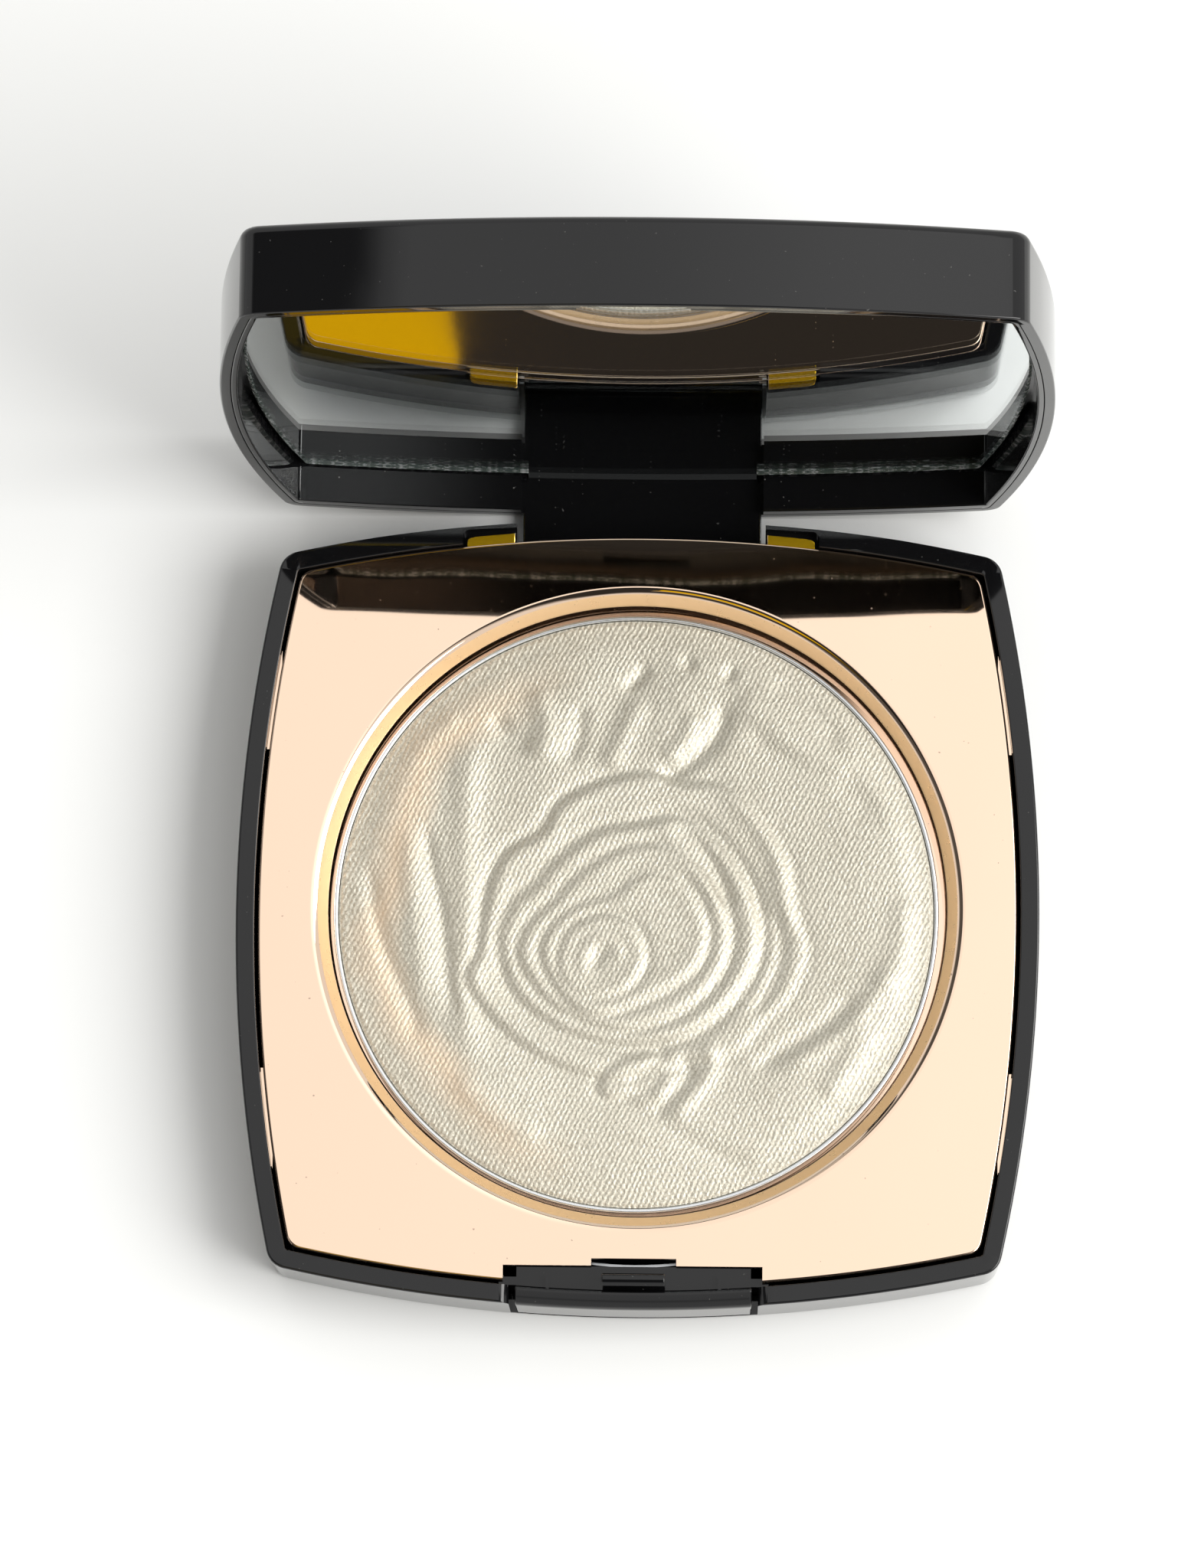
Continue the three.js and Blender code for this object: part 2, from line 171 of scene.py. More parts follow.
def box_obj(name, x0, x1, y0, y1, z0, z1):
    v = [(x, y, z) for z in (z0, z1) for y in (y0, y1) for x in (x0, x1)]
    f = [(0, 2, 3, 1), (4, 5, 7, 6), (0, 1, 5, 4), (2, 6, 7, 3), (0, 4, 6, 2), (1, 3, 7, 5)]
    return new_mesh(name, v, f)


def prism_x(name, yz, x0, x1):
    n = len(yz)
    v = [(x0, y, z) for y, z in yz] + [(x1, y, z) for y, z in yz]
    f = [(i, (i + 1) % n, n + (i + 1) % n, n + i) for i in range(n)]
    f += [tuple(range(n - 1, -1, -1)), tuple(range(n, 2 * n))]
    ob = new_mesh(name, v, f)
    fix_normals(ob)
    return ob


def prism_y(name, xz, y0, y1):
    n = len(xz)
    v = [(x, y0, z) for x, z in xz] + [(x, y1, z) for x, z in xz]
    f = [(i, (i + 1) % n, n + (i + 1) % n, n + i) for i in range(n)]
    f += [tuple(range(n - 1, -1, -1)), tuple(range(n, 2 * n))]
    ob = new_mesh(name, v, f)
    fix_normals(ob)
    return ob


def prism_z(name, xy, z0, z1):
    n = len(xy)
    v = [(x, y, z0) for x, y in xy] + [(x, y, z1) for x, y in xy]
    f = [(i, (i + 1) % n, n + (i + 1) % n, n + i) for i in range(n)]
    f += [tuple(range(n - 1, -1, -1)), tuple(range(n, 2 * n))]
    ob = new_mesh(name, v, f)
    fix_normals(ob)
    return ob


def fix_normals(ob):
    bm = bmesh.new()
    bm.from_mesh(ob.data)
    bmesh.ops.recalc_face_normals(bm, faces=bm.faces)
    bm.to_mesh(ob.data)
    bm.free()


def apply_mods(ob):
    dg = bpy.context.evaluated_depsgraph_get()
    me = bpy.data.meshes.new_from_object(ob.evaluated_get(dg))
    old = ob.data
    ob.modifiers.clear()
    ob.data = me
    bpy.data.meshes.remove(old)


def boolean(ob, tool, op="DIFFERENCE", solver="EXACT", keep=False):
    m = ob.modifiers.new("b", "BOOLEAN")
    m.operation = op
    m.object = tool
    m.solver = solver
    apply_mods(ob)
    if not keep:
        bpy.data.objects.remove(tool)
    return ob


def tidy(ob, merge=0.0004):
    bm = bmesh.new()
    bm.from_mesh(ob.data)
    bmesh.ops.remove_doubles(bm, verts=bm.verts, dist=merge)
    bmesh.ops.dissolve_degenerate(bm, edges=bm.edges, dist=merge)
    bm.to_mesh(ob.data)
    bm.free()


def bevel_edges(ob, width, test, segments=3, angle=30):
    """Rounds the sharp edges whose middle and direction pass the test."""
    bm = bmesh.new()
    bm.from_mesh(ob.data)
    es = []
    for e in bm.edges:
        if len(e.link_faces) == 2 and e.calc_face_angle(0) > math.radians(angle):
            mid = (e.verts[0].co + e.verts[1].co) / 2
            if test(mid, e):
                es.append(e)
    if es:
        bmesh.ops.bevel(bm, geom=es, offset=width, segments=segments, profile=0.5, affect="EDGES", clamp_overlap=True)
    bm.to_mesh(ob.data)
    bm.free()


def finish_piece(ob, body, mat, replaces=(), angle=32, to_open=False, weighted=True):
    """Millimetres to metres, lid pieces turned open, smooth shading with sharp creases kept."""
    M = Matrix.Scale(MM, 4) @ Matrix.Translation((0, 0, FOOT))
    if to_open:
        T = Matrix.Translation((0, HINGE_Y, HINGE_Z))
        M = M @ T @ Matrix.Rotation(-OPEN, 4, "X") @ T.inverted()
    ob.data.transform(M)
    ob.data.materials.clear()
    for m in mat if isinstance(mat, (list, tuple)) else [mat]:
        ob.data.materials.append(m)
    ob.data.polygons.foreach_set("use_smooth", [True] * len(ob.data.polygons))
    ob.data.set_sharp_from_angle(angle=math.radians(angle))
    if weighted:
        w = ob.modifiers.new("w", "WEIGHTED_NORMAL")
        w.keep_sharp = True
        w.weight = 70
        apply_mods(ob)
    if replaces:
        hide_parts(*replaces)
    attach(ob, body)
    return ob


# ------------------------------------------------------------------ materials
def material(name):
    m = bpy.data.materials.new(name)
    m.use_nodes = True
    nt = m.node_tree
    p = nt.nodes["Principled BSDF"]
    return m, nt, p


def node(nt, kind, **inputs):
    n = nt.nodes.new(kind)
    for k, v in inputs.items():
        key = k.replace("_", " ")
        if key in n.inputs:
            n.inputs[key].default_value = v
        else:
            setattr(n, k, v)
    return n


def coords(nt, scale=(1, 1, 1), rot=(0, 0, 0)):
    tc = nt.nodes.new("ShaderNodeTexCoord")
    mp = nt.nodes.new("ShaderNodeMapping")
    mp.inputs["Scale"].default_value = scale
    mp.inputs["Rotation"].default_value = rot
    nt.links.new(tc.outputs["Object"], mp.inputs["Vector"])
    return mp.outputs["Vector"]


def noise(nt, vec, scale, detail=3, rough=0.5):
    n = nt.nodes.new("ShaderNodeTexNoise")
    n.inputs["Scale"].default_value = scale
    n.inputs["Detail"].default_value = detail
    n.inputs["Roughness"].default_value = rough
    nt.links.new(vec, n.inputs["Vector"])
    return n.outputs["Fac"]


def ramp(nt, fac, stops):
    r = nt.nodes.new("ShaderNodeValToRGB")
    els = r.color_ramp.elements
    while len(els) < len(stops):
        els.new(0.5)
    for e, (pos, col) in zip(els, stops):
        e.position = pos
        e.color = (*col, 1) if len(col) == 3 else col
    nt.links.new(fac, r.inputs["Fac"])
    return r.outputs["Color"]


def math_node(nt, op, a, b=None, c=None):
    n = nt.nodes.new("ShaderNodeMath")
    n.operation = op
    for i, x in enumerate((a, b, c)):
        if x is None:
            continue
        if isinstance(x, (int, float)):
            n.inputs[i].default_value = x
        else:
            nt.links.new(x, n.inputs[i])
    return n.outputs[0]


def mix_rgb(nt, fac, a, b, blend="MIX"):
    n = nt.nodes.new("ShaderNodeMix")
    n.data_type = "RGBA"
    n.blend_type = blend
    for s, x in ((n.inputs[0], fac), (n.inputs[6], a), (n.inputs[7], b)):
        if isinstance(x, (int, float)):
            s.default_value = x
        elif isinstance(x, tuple):
            s.default_value = (*x, 1)
        else:
            nt.links.new(x, s)
    return n.outputs[2]


def bump(nt, height, strength, distance, normal=None):
    b = nt.nodes.new("ShaderNodeBump")
    b.inputs["Strength"].default_value = strength
    b.inputs["Distance"].default_value = distance
    nt.links.new(height, b.inputs["Height"])
    if normal is not None:
        nt.links.new(normal, b.inputs["Normal"])
    return b.outputs["Normal"]


def make_black(name, rough=0.035, dust=0.5, wave=0.10):
    m, nt, p = material(name)
    v = coords(nt)
    p.inputs["IOR"].default_value = 1.49
    # specks of dust and the faint haze of handling
    specks = noise(nt, v, 2600, 1, 0.5)
    s = ramp(nt, specks, [(0.0, (0, 0, 0)), (0.775, (0, 0, 0)), (0.80, (1, 1, 1))])
    smear = noise(nt, v, 60, 3, 0.6)
    base = mix_rgb(nt, s, (0.0045, 0.0045, 0.005), (0.10 * dust, 0.098 * dust, 0.094 * dust))
    nt.links.new(base, p.inputs["Base Color"])
    r = math_node(nt, "MULTIPLY_ADD", smear, 0.05, rough - 0.02)
    r2 = math_node(nt, "MULTIPLY_ADD", s, 0.45, r)
    nt.links.new(r2, p.inputs["Roughness"])
    # moulded plastic is never quite flat
    w = noise(nt, v, 85, 1, 0.4)
    nt.links.new(bump(nt, w, wave, 0.0004), p.inputs["Normal"])
    return m


BLACK = make_black("case_black_gloss")
BLACK_RIM = make_black("case_black_rim", rough=0.12, dust=0.9, wave=0.05)
BLACK_IN = make_black("case_black_inside", rough=0.05, dust=1.6, wave=0.06)


def make_gold(name, color=(0.94, 0.66, 0.46), rough=0.018, wave=0.16):
    m, nt, p = material(name)
    v = coords(nt)
    p.inputs["Metallic"].default_value = 1.0
    big = noise(nt, v, 22, 2, 0.5)
    c = mix_rgb(nt, big, tuple(0.985 * x for x in color), tuple(min(1, 1.02 * x) for x in color))
    pits = noise(nt, v, 2100, 1, 0.5)
    s = ramp(nt, pits, [(0.0, (0, 0, 0)), (0.785, (0, 0, 0)), (0.81, (1, 1, 1))])
    c = mix_rgb(nt, s, c, (0.62, 0.46, 0.36))
    nt.links.new(c, p.inputs["Base Color"])
    haze = noise(nt, v, 45, 4, 0.6)
    r = math_node(nt, "MULTIPLY_ADD", haze, 0.035, rough - 0.012)
    nt.links.new(math_node(nt, "MULTIPLY_ADD", s, 0.3, r), p.inputs["Roughness"])
    w = noise(nt, v, 52, 1, 0.4)
    nt.links.new(bump(nt, w, wave, 0.0005), p.inputs["Normal"])
    return m


GOLD = make_gold("rose_gold_plate", color=(1.0, 0.75, 0.57))


# painted reflection: the tab tops are the plate's rose gold, coloured yellow here for the yellow light they reflect
TAB_PAINTED_YELLOW = make_gold("tab_painted_yellow_reflection", color=(0.86, 0.55, 0.02), rough=0.26, wave=0.16)


def make_metal(name, color, rough, brush=0.0):
    m, nt, p = material(name)
    v = coords(nt)
    p.inputs["Metallic"].default_value = 1.0
    n1 = noise(nt, v, 900, 3, 0.6)
    nt.links.new(mix_rgb(nt, n1, tuple(0.93 * x for x in color), color), p.inputs["Base Color"])
    nt.links.new(math_node(nt, "MULTIPLY_ADD", n1, 0.12, rough - 0.05), p.inputs["Roughness"])
    nt.links.new(bump(nt, n1, 0.08 + brush, 0.00004), p.inputs["Normal"])
    return m


WELL = make_metal("brushed_gold_well", (1.0, 0.68, 0.38), 0.28, 0.45)
WELL.node_tree.nodes["Principled BSDF"].inputs["Metallic"].default_value = 0.65
ALU = make_metal("pan_aluminium", (0.86, 0.87, 0.88), 0.24)
STEEL = make_metal("pin_steel", (0.62, 0.63, 0.65), 0.22)


def make_powder(name):
    m, nt, p = material(name)
    v = coords(nt)
    sep = nt.nodes.new("ShaderNodeSeparateXYZ")
    nt.links.new(v, sep.inputs[0])
    x = math_node(nt, "ADD", sep.outputs[0], -PAN_C[0] * MM)
    y = math_node(nt, "ADD", sep.outputs[1], -PAN_C[1] * MM)
    # twill lines: pitch about half a millimetre, steep from lower left to upper right, broken up by the grain
    wob = noise(nt, v, 150, 3, 0.6)
    wob2 = noise(nt, v, 1500, 2, 0.6)
    t = math.radians(63)
    u = math_node(nt, "ADD", math_node(nt, "MULTIPLY", x, math.sin(t)), math_node(nt, "MULTIPLY", y, -math.cos(t)))
    w = math_node(nt, "ADD", math_node(nt, "MULTIPLY", x, math.cos(t)), math_node(nt, "MULTIPLY", y, math.sin(t)))
    u = math_node(nt, "MULTIPLY_ADD", wob, 0.0009, u)
    u = math_node(nt, "MULTIPLY_ADD", wob2, 0.00034, u)
    twill = math_node(nt, "SINE", math_node(nt, "MULTIPLY", u, 2 * math.pi / 0.00047))
    cross = math_node(nt, "SINE", math_node(nt, "ADD", math_node(nt, "MULTIPLY", w, 2 * math.pi / 0.00062),
                                            math_node(nt, "MULTIPLY", u, 2 * math.pi / 0.00094)))
    weave = math_node(nt, "MULTIPLY_ADD", cross, 0.45, twill)
    grain = noise(nt, v, 4200, 3, 0.7)
    h = math_node(nt, "MULTIPLY_ADD", grain, 2.0, math_node(nt, "MULTIPLY", weave, 0.36))
    nrm = bump(nt, h, 0.5, 0.00008)
    nt.links.new(nrm, p.inputs["Normal"])
    # ivory with pearl; a peach band on the left edge is painted reflected light, standing for light thrown from the
    # gold ring
    r2 = math_node(nt, "SQRT", math_node(nt, "ADD", math_node(nt, "MULTIPLY", x, x), math_node(nt, "MULTIPLY", y, y)))
    big = noise(nt, v, 70, 3, 0.55)
    ivory = mix_rgb(nt, big, (0.80, 0.765, 0.65), (0.90, 0.87, 0.76))
    # painted shade: the colour darkens along the weave's thread gaps, mixed with random grain tone
    tex = math_node(nt, "ADD", math_node(nt, "MULTIPLY_ADD", weave, 0.10, 0.5), math_node(nt, "MULTIPLY_ADD", grain, 1.7, -0.85))
    tex = math_node(nt, "MAXIMUM", 0.0, math_node(nt, "MINIMUM", 1.0, tex))
    grain_tone_and_weave_shade = mix_rgb(nt, tex, (0.36, 0.325, 0.25), ivory)
    ang = math_node(nt, "ARCTAN2", y, x)
    wave1 = math_node(nt, "MULTIPLY", math_node(nt, "SINE", math_node(nt, "MULTIPLY", ang, 7.0)), 0.0006)
    band_r = math_node(nt, "ADD", math_node(nt, "MULTIPLY_ADD", wob, 0.0035, -0.0265), math_node(nt, "ADD", r2, wave1))
    band = math_node(nt, "SUBTRACT", 1.0, math_node(nt, "MINIMUM", 1.0, math_node(nt, "MULTIPLY", math_node(nt, "ABSOLUTE", band_r), 340)))
    left = math_node(nt, "MAXIMUM", 0.0, math_node(nt, "MINIMUM", 1.0, math_node(nt, "MULTIPLY_ADD", x, -75.0, -0.35)))
    # painted reflected light: the peach band near the left edge, where the gold ring throws light
    painted_ring_light = math_node(nt, "MULTIPLY", math_node(nt, "MULTIPLY", band, left), 0.55)
    col = mix_rgb(nt, painted_ring_light, grain_tone_and_weave_shade, (0.84, 0.62, 0.42))
    nt.links.new(col, p.inputs["Base Color"])
    p.inputs["Roughness"].default_value = 0.42
    p.inputs["Metallic"].default_value = 0.52
    p.inputs["Specular IOR Level"].default_value = 0.62
    p.inputs["Sheen Weight"].default_value = 0.12
    p.inputs["Sheen Roughness"].default_value = 0.5
    return m


POWDER = make_powder("pearl_powder")


def make_mirror(name):
    m, nt, p = material(name)
    v = coords(nt)
    p.inputs["Metallic"].default_value = 1.0
    n1 = noise(nt, v, 30, 2, 0.5)
    nt.links.new(mix_rgb(nt, n1, (0.86, 0.885, 0.89), (0.885, 0.905, 0.91)), p.inputs["Base Color"])
    p.inputs["Roughness"].default_value = 0.0
    return m


def make_glass(name):
    m, nt, p = material(name)
    v = coords(nt)
    n1 = noise(nt, v, 300, 2, 0.5)
    nt.links.new(mix_rgb(nt, n1, (0.96, 0.985, 0.975), (0.99, 1.0, 0.995)), p.inputs["Base Color"])
    p.inputs["Transmission Weight"].default_value = 1.0
    p.inputs["IOR"].default_value = 1.5
    p.inputs["Roughness"].default_value = 0.0
    return m


def make_ground(name):
    m, nt, p = material(name)
    v = coords(nt, scale=(1, 1, 1))
    n1 = noise(nt, v, 1400, 3, 0.7)
    nt.links.new(ramp(nt, n1, [(0.0, (0.10, 0.13, 0.12)), (0.5, (0.16, 0.20, 0.18)), (0.62, (1, 1, 1))]), p.inputs["Base Color"])
    p.inputs["Roughness"].default_value = 0.22
    p.inputs["IOR"].default_value = 1.5
    nt.links.new(bump(nt, n1, 0.5, 0.0001), p.inputs["Normal"])
    return m


MIRROR = make_mirror("silvered_back")
GLASS = make_glass("clear_glass")
GROUND = make_ground("ground_edge")


def make_tape(name):
    m, nt, p = material(name)
    v = coords(nt)
    n1 = noise(nt, v, 1800, 3, 0.7)
    nt.links.new(mix_rgb(nt, n1, (0.74, 0.74, 0.71), (0.84, 0.84, 0.82)), p.inputs["Base Color"])
    p.inputs["Roughness"].default_value = 0.75
    nt.links.new(bump(nt, n1, 0.4, 0.0001), p.inputs["Normal"])
    return m


TAPE = make_tape("foam_tape")

# ------------------------------------------------------------------ base shell
def base_shell():
    prof = [(1.9, -FOOT), (0.0, -FOOT), (0.0, BASE_H), (BASE_WALL, BASE_H), (BASE_WALL, BASE_FLOOR), (3.0, BASE_FLOOR)]
    prof = rounded(prof, [0, 1.5, 0.22, 0.12, 0.4, 0], 7)
    rings = []
    for off, z in prof:
        r = CORNER_R - off if off < 1.2 else (0.35 if off >= BASE_WALL - 0.05 else 1.0 - (off - 1.2))
        rings.append(ring(outline(off, max(r, 0.3)), z))
    ob = loft("base_shell_fine", rings)
    for x, y in ((29.8, 29.6), (29.8, -29.6), (-29.8, 29.6), (-29.8, -29.6)):
        boolean(ob, loft("t", [circle(2.0, BASE_FLOOR - 0.3, (x, y), 40), circle(2.0, 6.85, (x, y), 40)]), "UNION")
    for s in (-1, 1):
        x0, x1 = sorted((s * CUT_HALF, s * 17.6))
        boolean(ob, box_obj("t", x0, x1, 33.5, 37.2, BASE_FLOOR - 0.3, 6.85), "UNION")
    boolean(ob, box_obj("t", -9.5, 9.5, -33.3, -32.5, BASE_FLOOR - 0.3, 6.7), "UNION")
    # way through for the tongue, its ears rounded at the top
    def flared(half, z0, flare):
        right = [(half, z0), (half, BASE_H - flare)]
        for k in range(1, 7):
            a = math.pi / 2 * k / 6
            right.append((half + flare * (1 - math.cos(a)), BASE_H - flare + flare * math.sin(a)))
        right.append((half + flare, BASE_H + 1))
        return right + [(-x, z) for x, z in reversed(right)]
    boolean(ob, prism_y("t", flared(CUT_HALF, -FOOT - 1, 0.35), 33.5, 40.5))
    for s in (-1, 1):
        x0, x1 = sorted((s * (CUT_HALF - 0.2), s * 15.85))
        boolean(ob, box_obj("t", x0, x1, HINGE_Y - 0.68, HINGE_Y + 0.68, HINGE_Z - 0.68, BASE_H + 1))
        # room for the plate's tab: a pocket with a rounded far corner
        x0, x1 = s * (CUT_HALF - 0.3), s * 17.45
        def pocket():
            pts = []
            y_in, y_out = 36.0, 37.98
            rr = 0.7
            pts += [(x0, y_in), (x1, y_in)]
            for k in range(7):
                a = math.pi / 2 * k / 6
                pts.append((x1 - s * (rr - rr * math.cos(a)), y_out - 0.28 - rr + rr * math.sin(a)))
            pts.append((x0, y_out))
            return pts
        boolean(ob, prism_z("t", pocket(), 6.85, BASE_H + 1))
        for y in (20.6, -20.6):
            pr = outline(1.2, 1)
            sel = prism_z("t", [(s * 34, y - 5.2), (s * 40, y - 5.2), (s * 40, y + 5.2), (s * 34, y + 5.2)], 6.0, 7.05)
            boolean(sel, prism_z("t2", [tuple(p) for p in pr], 5, 8), "INTERSECT")
            boolean(ob, sel)
    # the back rim rolls over about the hinge axis
    yz = []
    for k in range(17):
        a = math.radians(84 - 2.3 * k)
        yz.append((HINGE_Y + ROLL_R * math.cos(a), HINGE_Z + ROLL_R * math.sin(a)))
    yz += [(41, yz[-1][1]), (41, 9.5), (yz[0][0], 9.5)]
    boolean(ob, prism_x("t", yz, -37.5, 37.5))
    # way out for the button, rim ends rounded beside it
    boolean(ob, prism_y("t", flared(12.0, 1.5 - FOOT, 0.9), -41, -36.0))
    tidy(ob)
    return finish_piece(ob, "base", BLACK, ["base_shell"])


base_obj = base_shell()

# ------------------------------------------------------------------ inner plate
def inner_plate():
    offs = [2.08, 1.85, 2.08, 2.2]
    under = PLATE_TOP - 0.8
    def out(d):
        return outline([o + d for o in offs], 1.6)
    n = len(out(0))
    # outer edge, rounded over the top
    rings = [ring(out(0.0), under), ring(out(0.0), PLATE_TOP - 0.28)]
    for k in range(1, 7):
        a = math.pi / 2 * k / 6
        rings.append(ring(out(0.28 * (1 - math.cos(a))), PLATE_TOP - 0.28 * (1 - math.sin(a))))
    ob = loft("inner_plate_fine", rings)
    # the well's cup below the plate
    cup = loft("t", [circle(30.85, 1.3, WELL_C), circle(30.85, 5.0, WELL_C), circle(32.3, under, WELL_C), circle(32.3, under + 0.3, WELL_C)])
    boolean(ob, cup, "UNION")
    wp = [(WELL_R + 1.2, PLATE_TOP + 0.35), (WELL_R + 0.55, PLATE_TOP), (WELL_R - 0.25, PLATE_TOP), (30.72, 6.75), (SEAT_R, 5.2), (SEAT_R, 2.0)]
    # cutter: mouth flush with the top, small roll-over, then the cone and the straight seat
    prof = [(WELL_R + 0.42, PLATE_TOP + 0.5), (WELL_R + 0.42, PLATE_TOP)]
    for k in range(1, 11):
        a = math.radians(3.5 * k)
        prof.append((WELL_R + 0.42 - 1.35 * math.sin(a), PLATE_TOP - 1.35 * (1 - math.cos(a))))
    prof += [(30.28, 6.52), (30.14, 6.2), (30.0, 5.36), (SEAT_R, 5.2), (SEAT_R, 2.0)]
    rings = [circle(r, z, WELL_C) for r, z in reversed(prof)]
    boolean(ob, loft("t", rings))
    boolean(ob, loft("t", [circle(4.0, 0.5, WELL_C, 64), circle(4.0, 2.5, WELL_C, 64)]))
    # latch notch
    for x0, x1, y1 in ((-12.6, 12.4, -34.65), (-4.1, 4.1, -33.95)):
        boolean(ob, box_obj("t", x0, x1, -41, y1, 0, 10))
    tidy(ob)
    # tabs over the ends of the hinge pin
    for s in (-1, 1):
        pts = [(s * 12.35, 34.5), (s * 17.1, 34.5), (s * 17.1, 36.0)]
        y_out = lambda x: D / 2 - RY + math.sqrt((RY - 0.92) ** 2 - x * x)
        rr = 0.55
        cx = 17.1 - rr
        cy = y_out(17.1) - rr
        for k in range(7):
            a = math.pi / 2 * k / 6
            pts.append((s * (cx + rr * math.cos(a)), cy + rr * math.sin(a)))
        for x in np.linspace(16.2, 12.35, 8):
            pts.append((s * x, y_out(x)))
        tab = prism_z("t", pts, under, PLATE_TOP - 0.22)
        bevel_edges(tab, 0.12, lambda mid, e: mid.z > PLATE_TOP - 0.25, 3)
        boolean(ob, tab, "UNION")
        x0, x1 = sorted((s * 12.5, s * 15.65))
        foot = box_obj("t", x0, x1, 34.7, 35.85, HINGE_Z + 0.71, under + 0.2)
        boolean(ob, foot, "UNION")
        for y in (20.6, -20.6):
            q = [(s * 35.0, y - 4.6), (s * 40, y - 4.6), (s * 40, y + 4.6), (s * 35.0, y + 4.6)]
            clip = prism_z("t", q, 6.2, 6.85)
            boolean(clip, prism_z("t2", [tuple(p) for p in outline(1.55, 1)], 6, 8), "INTERSECT")
            lip = prism_z("t", [(a, b * 1.0) for a, b in [(s * 35.0, y - 4.9), (s * 40, y - 4.9), (s * 40, y + 4.9), (s * 35.0, y + 4.9)]], 6.2, PLATE_TOP - 0.18)
            boolean(lip, prism_z("t2", [tuple(p) for p in outline(1.88, 1)], 5, 8.5), "INTERSECT")
            boolean(ob, clip, "UNION")
            boolean(ob, lip, "UNION")
    tidy(ob)
    bevel_edges(ob, 0.14, lambda mid, e: mid.z > PLATE_TOP - 0.01 and mid.y < -33.5 and abs(mid.x) < 12.7 and abs(e.verts[0].co.z - e.verts[1].co.z) < 1e-4, 3)
    ob = finish_piece(ob, "base", GOLD, ["inner_plate"], angle=40)
    # second slot: the painted yellow reflection for the tab tops
    ob.data.materials.append(TAB_PAINTED_YELLOW)
    ob.data.materials.append(WELL)
    low_top = (PLATE_TOP - 0.22 + FOOT) * MM
    for f in ob.data.polygons:
        c = f.center
        if f.normal.z > 0.9 and abs(c.z - low_top) < 0.00004 and c.y > 0.0345 and 0.0122 < abs(c.x) < 0.0172:
            f.material_index = 1
        r = math.hypot(c.x / MM - WELL_C[0], c.y / MM - WELL_C[1])
        if 30.2 < r < 31.08 and c.z / MM > 6.3 + FOOT and 0.4 < f.normal.z < 0.8:
            f.material_index = 2
    return ob


plate_obj = inner_plate()

# ------------------------------------------------------------------ pan
def pan():
    prof = [(28.0, PAN_BOTTOM), (PAN_R, PAN_BOTTOM), (PAN_R, PAN_TOP), (PAN_R - 0.45, PAN_TOP), (PAN_R - 0.45, PAN_BOTTOM + 0.4), (27.5, PAN_BOTTOM + 0.4)]
    prof = rounded(prof, [0, 0.35, 0.16, 0.16, 0.3, 0], 5)
    ob = loft("powder_pan_fine", [circle(r, z, PAN_C) for r, z in prof])
    return finish_piece(ob, "base", ALU, ["powder_pan"], angle=40)


pan_obj = pan()

# ------------------------------------------------------------------ powder with its raised flower
def spline(points, per=9):
    """Closed Catmull-Rom curve."""
    p = np.array(points, float)
    n = len(p)
    out = []
    for i in range(n):
        a, b, c, d = p[(i - 1) % n], p[i], p[(i + 1) % n], p[(i + 2) % n]
        for k in range(per):
            t = k / per
            out.append(0.5 * ((2 * b) + (c - a) * t + (2 * a - 5 * b + 4 * c - d) * t * t + (3 * b - a - 3 * c + d) * t ** 3))
    return np.array(out)


def open_spline(points, per=10):
    p = np.array(points, float)
    p = np.vstack([2 * p[0] - p[1], p, 2 * p[-1] - p[-2]])
    out = []
    for i in range(1, len(p) - 2):
        a, b, c, d = p[i - 1], p[i], p[i + 1], p[i + 2]
        for k in range(per):
            t = k / per
            out.append(0.5 * ((2 * b) + (c - a) * t + (2 * a - 5 * b + 4 * c - d) * t * t + (3 * b - a - 3 * c + d) * t ** 3))
    out.append(p[-2])
    return np.array(out)


G_N = 361
G_R = 29.6
g_ax = np.linspace(-G_R, G_R, G_N)
GX, GY = np.meshgrid(g_ax, g_ax)
PX, PY = GX.ravel(), GY.ravel()
CELL = g_ax[1] - g_ax[0]


def near_line(poly, closed, reach):
    """Distance to the line, inside test, and how far along the line the nearest point is, for cells within reach of its box."""
    sel = np.where((PX > poly[:, 0].min() - reach) & (PX < poly[:, 0].max() + reach)
                   & (PY > poly[:, 1].min() - reach) & (PY < poly[:, 1].max() + reach))[0]
    x, y = PX[sel], PY[sel]
    a = poly
    b = np.roll(poly, -1, 0) if closed else poly[1:]
    if not closed:
        a = poly[:-1]
    best = np.full(len(sel), 1e9)
    along = np.zeros(len(sel))
    side = np.zeros(len(sel))
    inside = np.zeros(len(sel), bool)
    m = len(a)
    for k in range(m):
        ex, ey = b[k] - a[k]
        L2 = ex * ex + ey * ey + 1e-12
        dx, dy = x - a[k, 0], y - a[k, 1]
        t = np.clip((dx * ex + dy * ey) / L2, 0, 1)
        d = np.hypot(dx - t * ex, dy - t * ey)
        w = d < best
        best = np.where(w, d, best)
        along = np.where(w, (k + t) / m, along)
        side = np.where(w, np.sign(ex * dy - ey * dx), side)
        if closed:
            cond = (a[k, 1] > y) != (b[k, 1] > y)
            with np.errstate(divide="ignore", invalid="ignore"):
                xi = ex * (y - a[k, 1]) / (ey if abs(ey) > 1e-12 else 1e-12) + a[k, 0]
            inside ^= cond & (x < xi)
    return sel, best, along, inside, side


def smooth(t):
    t = np.clip(t, 0, 1)
    return t * t * (3 - 2 * t)


H = np.zeros(G_N * G_N)


